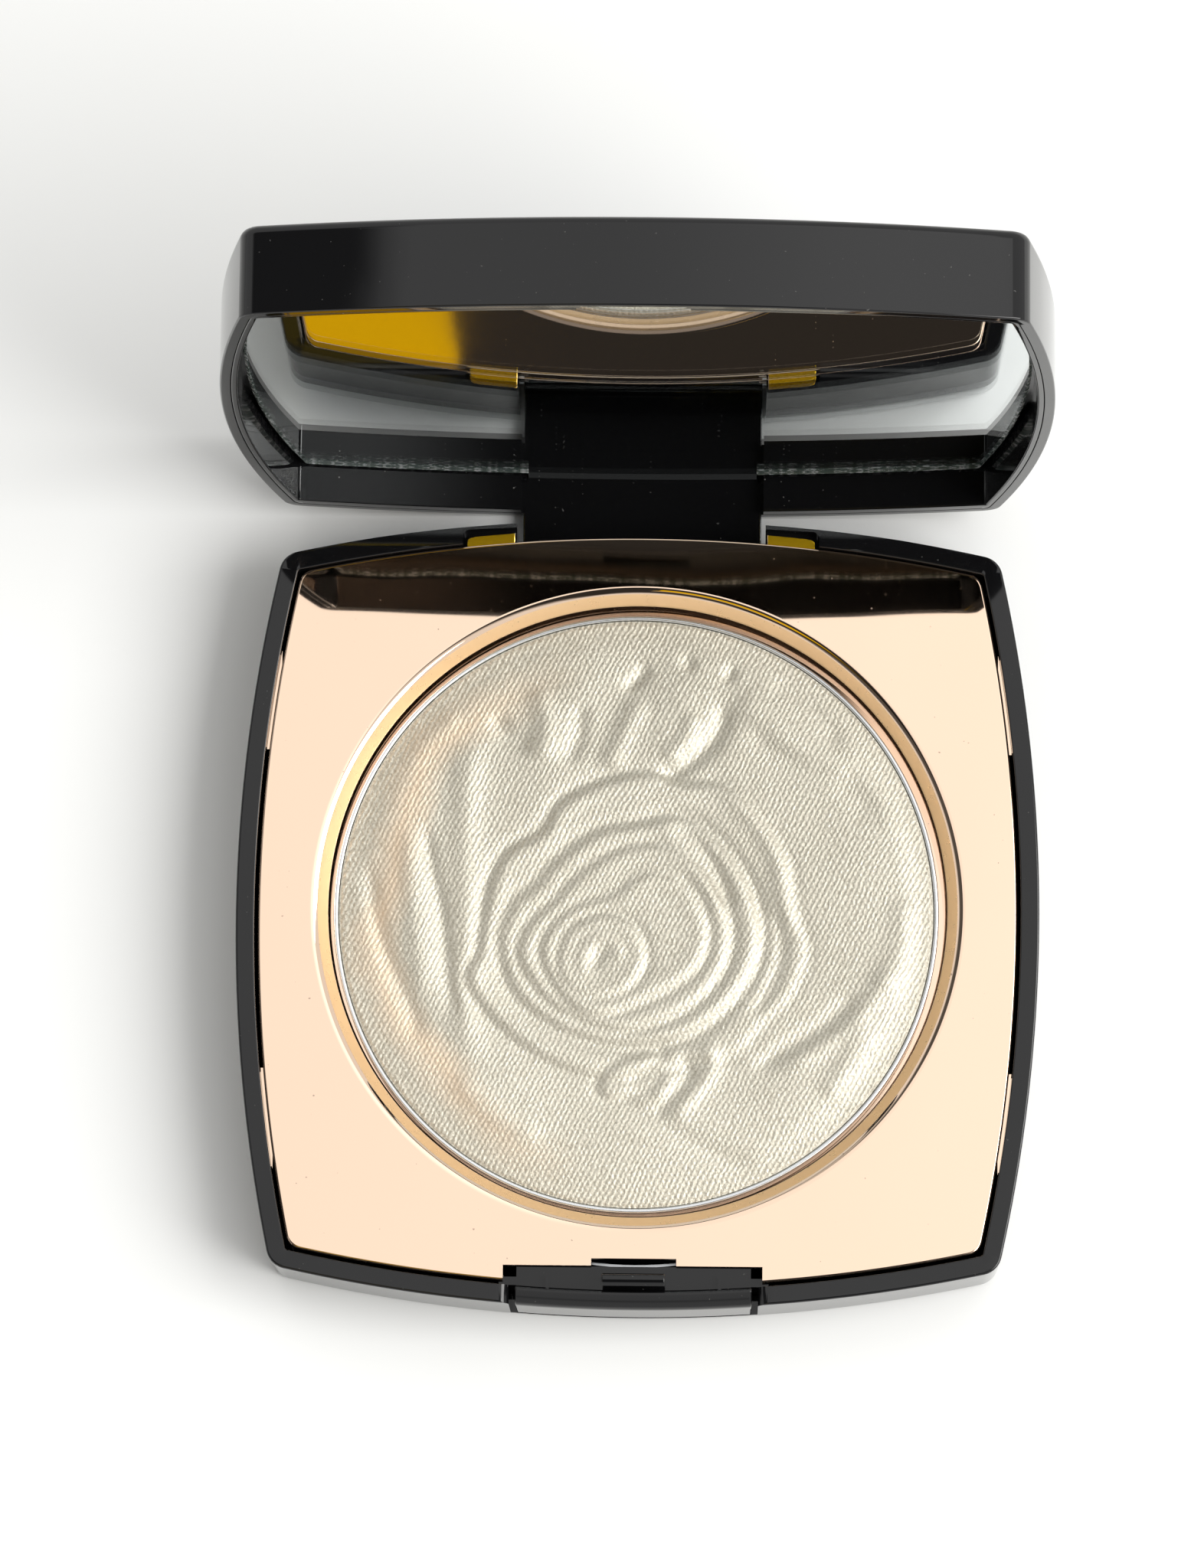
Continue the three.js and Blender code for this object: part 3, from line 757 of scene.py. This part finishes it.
def petal(points, step=0.10, lip=0.16, win=1.3, wout=0.4, groove=0.14, gpos=0.65, gw=0.5, strong=20, spread=0.6, low=0.35):
    """A closed petal: it stands a step above what is outside, with a lip on its edge and a groove beyond. strong is the compass angle where the edge is highest."""
    global H
    poly = spline(points)
    sel, d, along, inside, _ = near_line(poly, True, 4.0)
    s = np.where(inside, d, -d)
    c = poly.mean(0)
    th = np.arctan2(PY[sel] - c[1], PX[sel] - c[0])
    k = low + (1 - low) * (0.5 + 0.5 * np.cos(th - math.radians(strong))) ** spread
    body = step * smooth((s + wout) / (2 * wout))
    edge = np.where(s > 0, np.exp(-(s / win) ** 2), np.exp(-(s / wout) ** 2))
    gr = np.exp(-((s + gpos) / gw) ** 2)
    H[sel] += body + k * (lip * edge - groove * gr)


def fold(points, height, w_left, w_right, fade=0.18):
    """A crease along an open line, with its own width on each side, fading out at both ends."""
    global H
    poly = open_spline(points)
    reach = 3.2 * max(w_left, w_right)
    sel, d, along, _, side = near_line(poly, False, reach)
    w = np.where(side > 0, w_left, w_right)
    f = smooth(along / fade) * smooth((1 - along) / fade)
    H[sel] += height * f * np.exp(-(d / w) ** 2)


def swell(x, y, rx, ry, angle, h):
    global H
    a = math.radians(angle)
    u = (PX - x) * math.cos(a) + (PY - y) * math.sin(a)
    v = -(PX - x) * math.sin(a) + (PY - y) * math.cos(a)
    H += h * np.exp(-(u / rx) ** 2 - (v / ry) ** 2)


def powder():
    global H
    R = np.hypot(PX, PY)
    H -= 0.16 * (1 - (R / 29.5) ** 2)
    # broad outer petals and their hollows
    swell(23.5, 3, 6.5, 13, 8, 0.24)
    swell(22.5, -10, 4.0, 7, -22, 0.18)
    swell(-22, 3, 3.6, 10, 8, 0.30)
    swell(-18, 16, 6, 5, 40, 0.16)
    swell(-7, 19, 3.2, 6, -20, 0.24)
    swell(3, 19, 3.0, 7, -28, 0.26)
    swell(13, 18, 6, 4, -35, 0.22)
    swell(-14, -17, 7, 4, -38, 0.24)
    swell(1, -22, 9, 4, 5, 0.20)
    swell(16, -17, 6, 4, 42, 0.24)
    # long folds out to the edge
    fold([(-20.9, 9.5), (-20.0, 4.5), (-18.9, -0.5), (-18.1, -7.0), (-17.2, -11.5)], -0.34, 0.55, 0.8)
    fold([(-22.4, 8.5), (-22.0, 3.0), (-21.3, -3.0), (-20.4, -9.0)], 0.22, 1.3, 0.9)
    fold([(-15.8, 18.8), (-16.6, 12.5), (-16.7, 5.0), (-16.4, -3.0), (-16.6, -10.0), (-14.8, -16.0)], 0.32, 1.3, 1.5)
    fold([(-26.2, 5.5), (-25.6, 0.5), (-24.2, -4.5), (-21.9, -9.5), (-20.8, -13.5)], -0.30, 0.8, 0.8)
    fold([(-24.0, 14.5), (-21.0, 17.6), (-17.2, 19.4)], 0.16, 1.0, 1.4)
    fold([(-14.4, 19.6), (-12.6, 17.2), (-10.3, 16.6)], -0.30, 0.9, 0.8)
    fold([(-10.0, 22.5), (-9.0, 18.5), (-9.6, 14.6)], 0.26, 1.0, 1.0)
    fold([(-5.6, 21.0), (-5.8, 17.4), (-7.0, 14.6)], -0.26, 0.7, 0.9)
    fold([(1.2, 24.8), (-0.2, 23.0), (-1.6, 21.9)], -0.42, 0.55, 0.6, 0.3)
    fold([(4.3, 25.6), (5.4, 23.9)], -0.34, 0.5, 0.5, 0.35)
    fold([(9.6, 24.6), (8.3, 22.8)], -0.36, 0.5, 0.5, 0.35)
    fold([(0.4, 21.5), (-1.5, 17.5), (-3.0, 14.0)], 0.30, 1.1, 1.0)
    fold([(8.6, 21.2), (7.6, 17.6), (4.6, 14.6), (2.0, 13.4)], -0.44, 0.9, 0.75)
    fold([(5.6, 20.0), (4.6, 17.0), (2.6, 14.9)], 0.26, 0.9, 0.8)
    fold([(9.4, 22.0), (12.4, 18.8), (16.6, 15.6), (21.6, 12.9)], 0.22, 1.5, 1.2)
    fold([(10.2, 18.6), (14.4, 15.4), (19.8, 13.0), (24.4, 8.8)], -0.20, 1.1, 1.2)
    fold([(12.8, 23.4), (17.0, 20.6), (20.4, 16.4)], -0.18, 0.9, 0.9)
    fold([(26.2, 2.0), (26.0, -3.0), (24.0, -8.6)], 0.20, 1.6, 1.4)
    fold([(22.0, -7.4), (18.6, -10.8), (14.6, -13.4), (11.4, -15.6)], -0.30, 0.8, 0.8)
    fold([(25.2, -4.6), (22.8, -8.8), (18.8, -12.6), (13.6, -15.6)], 0.26, 1.0, 0.9)
    fold([(23.0, -10.0), (20.8, -14.6), (18.4, -18.4)], 0.24, 1.3, 1.1)
    fold([(-3.0, -17.6), (2.4, -20.6), (7.8, -23.6), (12.8, -25.4)], -0.20, 0.9, 0.9)
    fold([(-17.8, -16.0), (-13.6, -20.0), (-8.6, -22.6)], 0.20, 1.3, 1.1)
    # the flower, outermost first
    petal([(-14.6, -1.6), (-13.9, 2.4), (-12.3, 5.6), (-9.0, 7.7), (-7.1, 10.6), (-3.4, 12.5), (0.8, 13.4), (4.6, 12.4),
           (8.2, 12.2), (12.0, 8.6), (14.3, 5.0), (15.0, 0.4), (16.3, -3.6), (15.0, -7.6), (12.2, -10.6), (9.6, -13.4),
           (4.6, -14.4), (-2.4, -15.9), (-8.2, -14.3), (-13.2, -10.7), (-15.8, -6.9), (-14.9, -4.2)],
          step=0.12, lip=0.22, groove=0.26, wout=0.42, gpos=0.75, gw=0.55, strong=150, spread=0.8, low=0.30)
    fold([(7.4, 13.4), (11.0, 10.0), (13.4, 6.0), (14.4, 1.6), (15.2, -2.6)], 0.24, 0.9, 0.8)
    fold([(13.2, 1.0), (14.2, -3.0), (13.2, -7.2), (10.8, -10.8)], -0.26, 0.7, 0.7)
    petal([(-12.8, -2.5), (-11.6, 0.6), (-9.5, 2.4), (-7.5, 4.8), (-3.8, 7.5), (0.4, 8.4), (4.4, 8.9), (8.4, 5.8),
           (10.9, 1.6), (11.6, -3.4), (9.4, -8.0), (5.0, -11.6), (-0.9, -12.6), (-6.6, -11.3), (-10.6, -8.7), (-12.2, -5.9)],
          step=0.14, lip=0.24, groove=0.34, wout=0.4, gpos=0.8, gw=0.62, strong=-20, spread=0.7, low=0.35)
    fold([(3.2, 9.6), (6.2, 6.8), (8.2, 3.6), (9.6, 0.0)], -0.34, 0.6, 0.6)
    fold([(1.8, 8.6), (4.8, 5.6), (7.2, 2.2), (8.4, -1.2)], 0.20, 0.6, 0.6)
    petal([(-11.0, -4.6), (-10.2, -1.6), (-7.9, 0.6), (-5.4, 3.4), (-1.2, 5.9), (3.0, 6.1), (6.9, 3.0), (8.8, -1.4),
           (8.0, -5.7), (4.6, -9.3), (-0.8, -11.2), (-5.4, -10.2), (-8.6, -8.2)],
          step=0.12, lip=0.20, groove=0.26, wout=0.36, gpos=0.65, gw=0.5, strong=-60, spread=0.7, low=0.40)
    petal([(-8.9, -4.2), (-7.5, -1.2), (-5.2, 0.4), (-2.2, 1.4), (1.6, 3.5), (5.0, 2.0), (6.7, -2.0), (5.4, -5.6),
           (1.2, -8.2), (-3.4, -9.8), (-6.6, -8.4)],
          step=0.11, lip=0.20, groove=0.22, wout=0.33, gpos=0.6, gw=0.45, strong=-75, spread=0.8, low=0.40)
    petal([(-7.2, -4.8), (-6.2, -2.0), (-3.0, -0.6), (-0.4, -1.7), (0.7, -4.6), (-0.9, -7.3), (-4.0, -8.2), (-6.4, -7.0)],
          step=0.08, lip=0.19, groove=0.20, wout=0.32, gpos=0.55, gw=0.42, strong=20, spread=0.8, low=0.5)
    fold([(-4.9, -6.8), (-5.1, -4.3), (-3.5, -2.6), (-1.9, -3.3), (-1.6, -5.3)], 0.20, 0.5, 0.5, 0.12)
    fold([(-4.0, -5.9), (-3.6, -4.4), (-2.8, -4.4)], -0.26, 0.5, 0.5, 0.2)
    fold([(-1.6, 2.2), (2.0, 4.2), (5.0, 3.2)], 0.12, 0.6, 0.6)
    # small petals in front of the flower
    petal([(-3.0, -16.6), (-0.8, -14.9), (2.2, -14.2), (2.0, -15.9), (-0.8, -17.6), (-2.6, -17.9)], step=0.10, lip=0.16, groove=0.16,
          wout=0.35, strong=200, low=0.4)
    fold([(3.0, -13.0), (1.8, -15.2), (-1.0, -17.4)], -0.24, 0.6, 0.6)
    fold([(6.6, -12.6), (7.6, -15.0), (5.8, -17.8), (3.4, -20.4)], 0.30, 0.7, 0.8)
    fold([(4.6, -13.4), (5.2, -16.0), (3.4, -18.4), (1.6, -20.2)], -0.26, 0.6, 0.6)
    fold([(2.6, -14.6), (3.2, -16.6), (1.8, -18.6)], 0.20, 0.6, 0.6)
    H2 = H.reshape(G_N, G_N)

    def blur(a, sigma):
        n = int(3 * sigma / CELL) + 1
        k = np.exp(-0.5 * (np.arange(-n, n + 1) * CELL / sigma) ** 2)
        k /= k.sum()
        pad = np.pad(a, n, mode="edge")
        out = sum(w * pad[i:i + a.shape[0], n:-n] for i, w in enumerate(k))
        pad = np.pad(out, n, mode="edge")
        return sum(w * pad[n:-n, i:i + a.shape[1]] for i, w in enumerate(k))

    H2 = 0.6 * blur(H2, 0.22) + 0.4 * blur(H2, 0.55)
    # soft unevenness of the pressing, from three smooth waves
    H2 = H2 + 0.025 * np.sin(GX * 0.42 + 0.8 * np.sin(GY * 0.31)) * np.cos(GY * 0.37 + 0.5)
    rim_z, r_out = 5.33, 28.98
    RR = np.hypot(GX, GY)
    H2 = H2 - H2[RR < 28].mean()
    top = 5.60 + 1.0 * H2
    edge = smooth((r_out - RR) / 3.2)
    Z = rim_z * (1 - edge) + top * edge
    Z = np.where(RR < 28.6, Z, rim_z - 0.12 * smooth((RR - 28.6) / 0.4))

    n = 470
    t = np.linspace(-1, 1, n)
    U, V = np.meshgrid(t, t)
    X = U * np.sqrt(1 - V * V / 2) * r_out
    Y = V * np.sqrt(1 - U * U / 2) * r_out
    fx = np.clip((X + G_R) / CELL, 0, G_N - 1.001)
    fy = np.clip((Y + G_R) / CELL, 0, G_N - 1.001)
    ix, iy = fx.astype(int), fy.astype(int)
    ax, ay = fx - ix, fy - iy
    z = (Z[iy, ix] * (1 - ax) * (1 - ay) + Z[iy, ix + 1] * ax * (1 - ay) + Z[iy + 1, ix] * (1 - ax) * ay + Z[iy + 1, ix + 1] * ax * ay)
    verts = np.c_[(X + PAN_C[0]).ravel(), (Y + PAN_C[1]).ravel(), z.ravel()]
    idx = np.arange(n * n).reshape(n, n)
    quads = np.stack([idx[:-1, :-1], idx[:-1, 1:], idx[1:, 1:], idx[1:, :-1]], -1).reshape(-1, 4)
    loop = np.concatenate([idx[0, :-1], idx[:-1, -1], idx[-1, :0:-1], idx[:0:-1, 0]])
    low = verts[loop].copy()
    low[:, 2] = PAN_BOTTOM + 0.45
    base = len(verts)
    verts = np.vstack([verts, low])
    m = len(loop)
    faces = [tuple(q) for q in quads.tolist()]
    for i in range(m):
        j = (i + 1) % m
        faces.append((int(loop[j]), int(loop[i]), base + i, base + j))
    faces.append(tuple(base + i for i in range(m - 1, -1, -1)))
    ob = new_mesh("powder_cake_fine", verts, faces)
    return finish_piece(ob, "base", POWDER, ["powder_cake"], angle=60, weighted=False)


powder_obj = powder()


# ------------------------------------------------------------------ lid
def bow(x, off=0.0):
    """How far the front or back edge has come in at x."""
    return (RY - off) - math.sqrt((RY - off) ** 2 - x * x)


def columns(name, xs, section):
    secs = [section(x) for x in xs]
    n = len(secs[0])
    v = []
    for x, s in zip(xs, secs):
        v += [(x, y, z) for y, z in s]
    f = []
    for j in range(len(xs) - 1):
        for i in range(n):
            i2 = (i + 1) % n
            f.append((j * n + i, j * n + i2, (j + 1) * n + i2, (j + 1) * n + i))
    f.append(tuple(range(n - 1, -1, -1)))
    f.append(tuple((len(xs) - 1) * n + i for i in range(n)))
    ob = new_mesh(name, v, f)
    fix_normals(ob)
    return ob


def lid_shell():
    prof = [(3.0, LID_TOP - 1.5), (1.0, LID_TOP - 1.5), (1.0, RIM), (0.0, RIM), (0.0, LID_TOP), (2.4, LID_TOP)]
    prof = rounded(prof, [0, 0.3, 0.05, 0.18, 1.0, 0], 8)
    rings = []
    for off, z in prof:
        rings.append(ring(outline(off, max(CORNER_R - off * 0.95, 0.5)), z))
    ob = loft("lid_shell_fine", rings)
    # tongue: the back wall runs down to the knuckle round the pin
    def section(x):
        b = bow(x)
        yo, yi = D / 2 - b, D / 2 - 1.06 - b
        pts = [(yo, RIM + 1.2), (yi, RIM + 1.2), (yi, HINGE_Z + 1.15)]
        for k in range(1, 5):
            a = math.pi / 2 * k / 4
            pts.append((yi - 0.4 * (1 - math.cos(a)), HINGE_Z + 1.15 - 0.4 * math.sin(a)))
        for k in range(21):
            a = math.radians(30 + 300 * k / 20)
            pts.append((HINGE_Y + 1.5 * math.cos(a), HINGE_Z + 1.5 * math.sin(a)))
        pts += [(yo - 0.5, HINGE_Z - 0.75), (yo - 0.15, HINGE_Z - 0.66), (yo, HINGE_Z - 0.4)]
        return pts
    xs = [-TONGUE_HALF] + list(np.linspace(-TONGUE_HALF + 0.2, TONGUE_HALF - 0.2, 39)) + [TONGUE_HALF]
    tongue = columns("t", xs, section)
    bevel_edges(tongue, 0.11, lambda mid, e: abs(abs(mid.x) - TONGUE_HALF) < 0.01, 3)
    boolean(ob, tongue, "UNION")
    boolean(ob, rod("t", 0.75, -20, 20, HINGE_Y, HINGE_Z))
    # catch: recess and ledge inside the front wall
    boolean(ob, box_obj("t", -4.7, 4.7, -38.35, -37.0, RIM - 1, RIM + 1.8))
    ledge = box_obj("t", -4.8, 4.6, -38.2, -36.91, RIM + 0.4, RIM + 1.0)
    bevel_edges(ledge, 0.1, lambda mid, e: mid.y > -37, 3)
    boolean(ob, ledge, "UNION")
    tidy(ob)
    return finish_piece(ob, "lid", BLACK, ["lid_shell"], to_open=True)


def rod(name, r, x0, x1, y, z, n=48):
    a = np.arange(n) * 2 * np.pi / n
    r0 = np.c_[np.full(n, x0), y + r * np.cos(a), z + r * np.sin(a)]
    r1 = r0.copy()
    r1[:, 0] = x1
    ob = loft(name, [r0, r1])
    fix_normals(ob)
    return ob


lid_obj = lid_shell()


def lid_frame():
    inner = [1.66, 2.4, 1.66, 1.66]
    def io(d=0.0, r=0.3):
        return outline([o + d for o in inner], r)
    rings = [ring(io(0), SEAT_Z), ring(io(0), RIM + 0.16)]
    for k in range(1, 5):
        a = math.pi / 2 * k / 4
        rings.append(ring(io(-0.16 * (1 - math.cos(a))), RIM + 0.16 * (1 - math.sin(a))))
    rings.append(ring(outline(1.05 + 0.1, 1.1), RIM))
    for k in range(1, 4):
        a = math.pi / 2 * k / 3
        rings.append(ring(outline(1.05 + 0.1 * (1 - math.sin(a)), 1.1), RIM + 0.1 * (1 - math.cos(a))))
    rings.append(ring(outline(1.05, 1.1), SEAT_Z + 1.0))
    ob = loft("lid_inner_frame_fine", rings)
    boolean(ob, box_obj("t", -12, 12, 35.3, 40, RIM - 1, SEAT_Z))
    boolean(ob, box_obj("t", -5.1, 5.1, -40, -36.4, RIM - 1, RIM + 1.8))
    tidy(ob)
    return finish_piece(ob, "lid", BLACK_IN, ["lid_inner_frame"], to_open=True)


frame_obj = lid_frame()


def mirror():
    def mo(d):
        o = [2.15 + d, 2.65 + d, 2.15 + d, 2.15 + d]
        p = outline(o, 0.6)
        return p
    z0 = MIRROR_Z
    rings = [ring(mo(0.28), z0), ring(mo(0), z0 + 0.28), ring(mo(0), z0 + MIRROR_T)]
    ob = loft("mirror_glass_fine", rings)
    tab = columns("t", list(np.linspace(-11.3, 11.3, 31)),
                  lambda x: [(35.5, z0), (D / 2 - 1.1 - bow(x, 1.1), z0), (D / 2 - 1.1 - bow(x, 1.1), z0 + MIRROR_T), (35.5, z0 + MIRROR_T)])
    boolean(ob, tab, "UNION")
    tidy(ob)
    me = ob.data
    finish_piece(ob, "lid", [GLASS, GROUND, MIRROR], ["mirror_glass"], angle=20, to_open=False, weighted=False)
    kinds = []
    for p in ob.data.polygons:
        n, c = p.normal, p.center / MM
        if n.z > 0.9:
            kinds.append(2)
        elif n.z < -0.9:
            kinds.append(0)
        elif abs(c.x) < 11.4 and c.y > 36.3:
            kinds.append(0)
        else:
            kinds.append(1)
    ob.data.polygons.foreach_set("material_index", kinds)
    ob.data.polygons.foreach_set("use_smooth", [False] * len(ob.data.polygons))
    T = Matrix.Translation((0, HINGE_Y * MM, (HINGE_Z + FOOT) * MM))
    ob.data.transform(T @ Matrix.Rotation(-OPEN, 4, "X") @ T.inverted())
    return ob


mirror_obj = mirror()


# ------------------------------------------------------------------ latch button
def button():
    B = 11.4
    def section(x):
        b = bow(x)
        yf = -D / 2 + 0.02 + b
        b0 = 1.65 - FOOT
        pts = [(yf + 1.95, b0), (yf + 0.35, b0), (yf + 0.1, b0 + 0.1), (yf, b0 + 0.35), (yf, 6.7)]
        # roll from the front face into the gentle slope under the lip
        pts += [(yf + 0.01, 7.0), (yf + 0.05, 7.25), (yf + 0.12, 7.45), (yf + 0.23, 7.61), (yf + 0.38, 7.74), (yf + 0.56, 7.85),
                (yf + 0.76, 7.95), (yf + 0.98, 8.06), (yf + 1.18, 8.19), (yf + 1.35, 8.35)]
        pts += [(yf + 1.55, 8.35), (yf + 1.66, 8.28), (yf + 1.7, 8.15), (yf + 1.78, 7.4), (yf + 1.85, 6.9)]
        pts += [(yf + 1.95, 6.8)]
        return pts
    xs = [-B] + list(np.linspace(-B + 0.3, B - 0.3, 45)) + [B]
    ob = columns("latch_button_fine", xs, section)
    bevel_edges(ob, 0.16, lambda mid, e: abs(abs(mid.x) - B) < 0.01, 4)
    boolean(ob, box_obj("t", -11.3, 11.3, -37.4, -34.65, 6.0, 6.8), "UNION")
    boolean(ob, box_obj("t", -10, 10, -35.4, -34.65, 2.5, 6.8), "UNION")
    boolean(ob, box_obj("t", -11.3, 11.3, -37.0, -36.0, 1.7 - FOOT, 6.8), "UNION")
    for s in (-1, 1):
        x0, x1 = sorted((s * 11.0, s * 13.0))
        boolean(ob, box_obj("t", x0, x1, -36.5, -35.7, 1.7 - FOOT, 6.8), "UNION")
        x0, x1 = sorted((s * 8.15, s * 8.45))
        boolean(ob, box_obj("t", x0, x1, -37.2, -35.7, 6.7, 7.4), "UNION")
    # hook post: rounded corners, nose to the front
    yz = [(-36.35, 6.5), (-35.62, 6.5), (-35.62, 9.85), (-35.75, 10.15), (-35.98, 10.28), (-36.4, 10.28), (-36.62, 10.15),
          (-36.82, 9.93), (-36.82, 9.74), (-36.35, 9.7), (-36.35, 8.9)]
    post = prism_x("t", yz, -3.05, 3.05)
    bevel_edges(post, 0.28, lambda mid, e: abs(abs(mid.x) - 3.05) < 0.01 and mid.z > 6.6, 4)
    boolean(ob, post, "UNION")
    tidy(ob)
    return finish_piece(ob, "latch", BLACK, ["latch_button"])


button_obj = button()

# CAD pieces that stay, with their own finish
for name, mat in (("hinge_pin", STEEL), ("latch_spring", STEEL), ("pan_adhesive", TAPE), ("mirror_tape_left", TAPE), ("mirror_tape_right", TAPE)):
    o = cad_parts[name]
    o.data.materials.clear()
    o.data.materials.append(mat)
    if name == "hinge_pin":
        o.data.polygons.foreach_set("use_smooth", [True] * len(o.data.polygons))
        o.data.set_sharp_from_angle(angle=math.radians(40))

# ------------------------------------------------------------------ stage, light, camera
def stage_floor():
    n = 2
    ob = new_mesh("floor", [(-3, -3, 0), (3, -3, 0), (3, 3, 0), (-3, 3, 0)], [(0, 1, 2, 3)])
    m, nt, p = material("floor_white")
    v = coords(nt)
    big = noise(nt, v, 6, 2, 0.5)
    nt.links.new(mix_rgb(nt, big, (0.86, 0.87, 0.865), (0.90, 0.905, 0.90)), p.inputs["Base Color"])
    p.inputs["Roughness"].default_value = 0.8
    p.inputs["Specular IOR Level"].default_value = 0.2
    ob.data.materials.append(m)
    ob.location.z = -0.00002
    return ob


stage_floor()

world = bpy.data.worlds.new("studio")
bpy.context.scene.world = world
world.use_nodes = True
wn = world.node_tree
bg = wn.nodes["Background"]
tc = wn.nodes.new("ShaderNodeTexCoord")
sp = wn.nodes.new("ShaderNodeSeparateXYZ")
wn.links.new(tc.outputs["Generated"], sp.inputs[0])
dz = math_node(wn, "MAXIMUM", sp.outputs[2], 0.02)
su = math_node(wn, "DIVIDE", sp.outputs[0], dz)
sv = math_node(wn, "DIVIDE", sp.outputs[1], dz)


def sstep(x, a, b):
    """Smooth 0 to 1 as x goes from a to b."""
    n = wn.nodes.new("ShaderNodeMapRange")
    n.interpolation_type = "SMOOTHSTEP"
    n.inputs["From Min"].default_value = a
    n.inputs["From Max"].default_value = b
    wn.links.new(x, n.inputs["Value"])
    return n.outputs["Result"]


def mul(*xs):
    r = xs[0]
    for x in xs[1:]:
        r = math_node(wn, "MULTIPLY", r, x)
    return r


def inv(x):
    return math_node(wn, "SUBTRACT", 1.0, x)


# small unevenness, so that no edge of the room is a ruled line
wob = wn.nodes.new("ShaderNodeTexNoise")
wob.inputs["Scale"].default_value = 9.0
wob.inputs["Detail"].default_value = 4.0
wn.links.new(tc.outputs["Generated"], wob.inputs["Vector"])
wv = math_node(wn, "SUBTRACT", wob.outputs["Fac"], 0.5)
pu = math_node(wn, "MULTIPLY_ADD", wv, 0.16, su)
pv = math_node(wn, "MULTIPLY_ADD", wv, 0.012, sv)

# bright ceiling straight above and behind, a little stronger to the right
panel = mul(sstep(pu, -0.38, -0.32), inv(sstep(su, 0.50, 0.60)), sstep(sv, -0.03, 0.05), inv(sstep(sv, 0.95, 1.35)))
lift_r = math_node(wn, "MULTIPLY", sstep(su, -0.10, 0.35), 0.45)
# the dark shape of the camera and whoever holds it, above and to the front
us = math_node(wn, "MULTIPLY_ADD", wv, 0.05, su)
cut = math_node(wn, "MULTIPLY_ADD", sstep(us, -0.0446, -0.0366), -2.0, -0.268)
over = math_node(wn, "SUBTRACT", pv, cut)
reach = mul(sstep(su, -0.60, -0.45), inv(sstep(su, 0.13, 0.32)))
glow = mul(inv(sstep(over, -0.004, 0.004)), sstep(sv, -0.60, -0.45))
dark = mul(reach, inv(sstep(sv, -0.06, 0.02)), inv(glow), sstep(sv, -1.3, -0.8))
warm = mul(reach, glow)
level = math_node(wn, "ADD", 0.80, math_node(wn, "MULTIPLY", panel, math_node(wn, "ADD", 0.23, lift_r)))
level = math_node(wn, "MULTIPLY", level, math_node(wn, "SUBTRACT", 1.0, math_node(wn, "MULTIPLY", dark, 0.965)))
# the left side above is dim
side = mul(inv(sstep(pu, -0.42, -0.33)), sstep(su, -1.5, -0.9), sstep(sv, -1.2, -0.6), inv(sstep(sv, 0.6, 1.0)))
level = math_node(wn, "MULTIPLY", level, math_node(wn, "SUBTRACT", 1.0, math_node(wn, "MULTIPLY", side, 0.90)))
wn.links.new(level, bg.inputs["Strength"])
wn.links.new(mix_rgb(wn, warm, (1.0, 0.997, 0.99), (0.84, 0.565, 0.006)), bg.inputs["Color"])


def area(name, loc, target, size, power, color=(1, 1, 1), size_y=None):
    l = bpy.data.lights.new(name, "AREA")
    l.shape = "RECTANGLE"
    l.size = size
    l.size_y = size_y or size
    l.energy = power
    l.color = color
    o = bpy.data.objects.new(name, l)
    bpy.context.scene.collection.objects.link(o)
    o.location = loc
    o.rotation_euler = (Vector(target) - Vector(loc)).to_track_quat("-Z", "Y").to_euler()
    return o


key = area("key", (0.78, -0.16, 0.80), (0, 0, 0), 0.78, 12.6, (1.0, 0.99, 0.97))

# camera
cam = bpy.data.cameras.new("camera")
cam.sensor_fit = "VERTICAL"
cam.sensor_height = 36.0
cam.sensor_width = 36.0 * 1572 / 2048
cam.lens = 9135.832 / 2048 * 36
cam.clip_start = 0.01
cam.clip_end = 20
co = bpy.data.objects.new("camera", cam)
bpy.context.scene.collection.objects.link(co)
rv = Vector((2.9635192002616266, 0.014390060650841087, -0.025883949728977805))
R = Matrix.Rotation(rv.length, 3, rv.normalized())
right, down, fwd = Vector(R[0]), Vector(R[1]), Vector(R[2])
M3 = Matrix((right, -down, -fwd)).transposed()
co.matrix_world = Matrix.Translation((0.008838639, -0.108164349, 0.670304199 + (BASE_H + FOOT) * MM)) @ M3.to_4x4()
bpy.context.scene.camera = co

sc = bpy.context.scene
sc.view_settings.view_transform = "Standard"
sc.view_settings.look = "None"
sc.view_settings.exposure = 0.0
sc.cycles.use_denoising = True
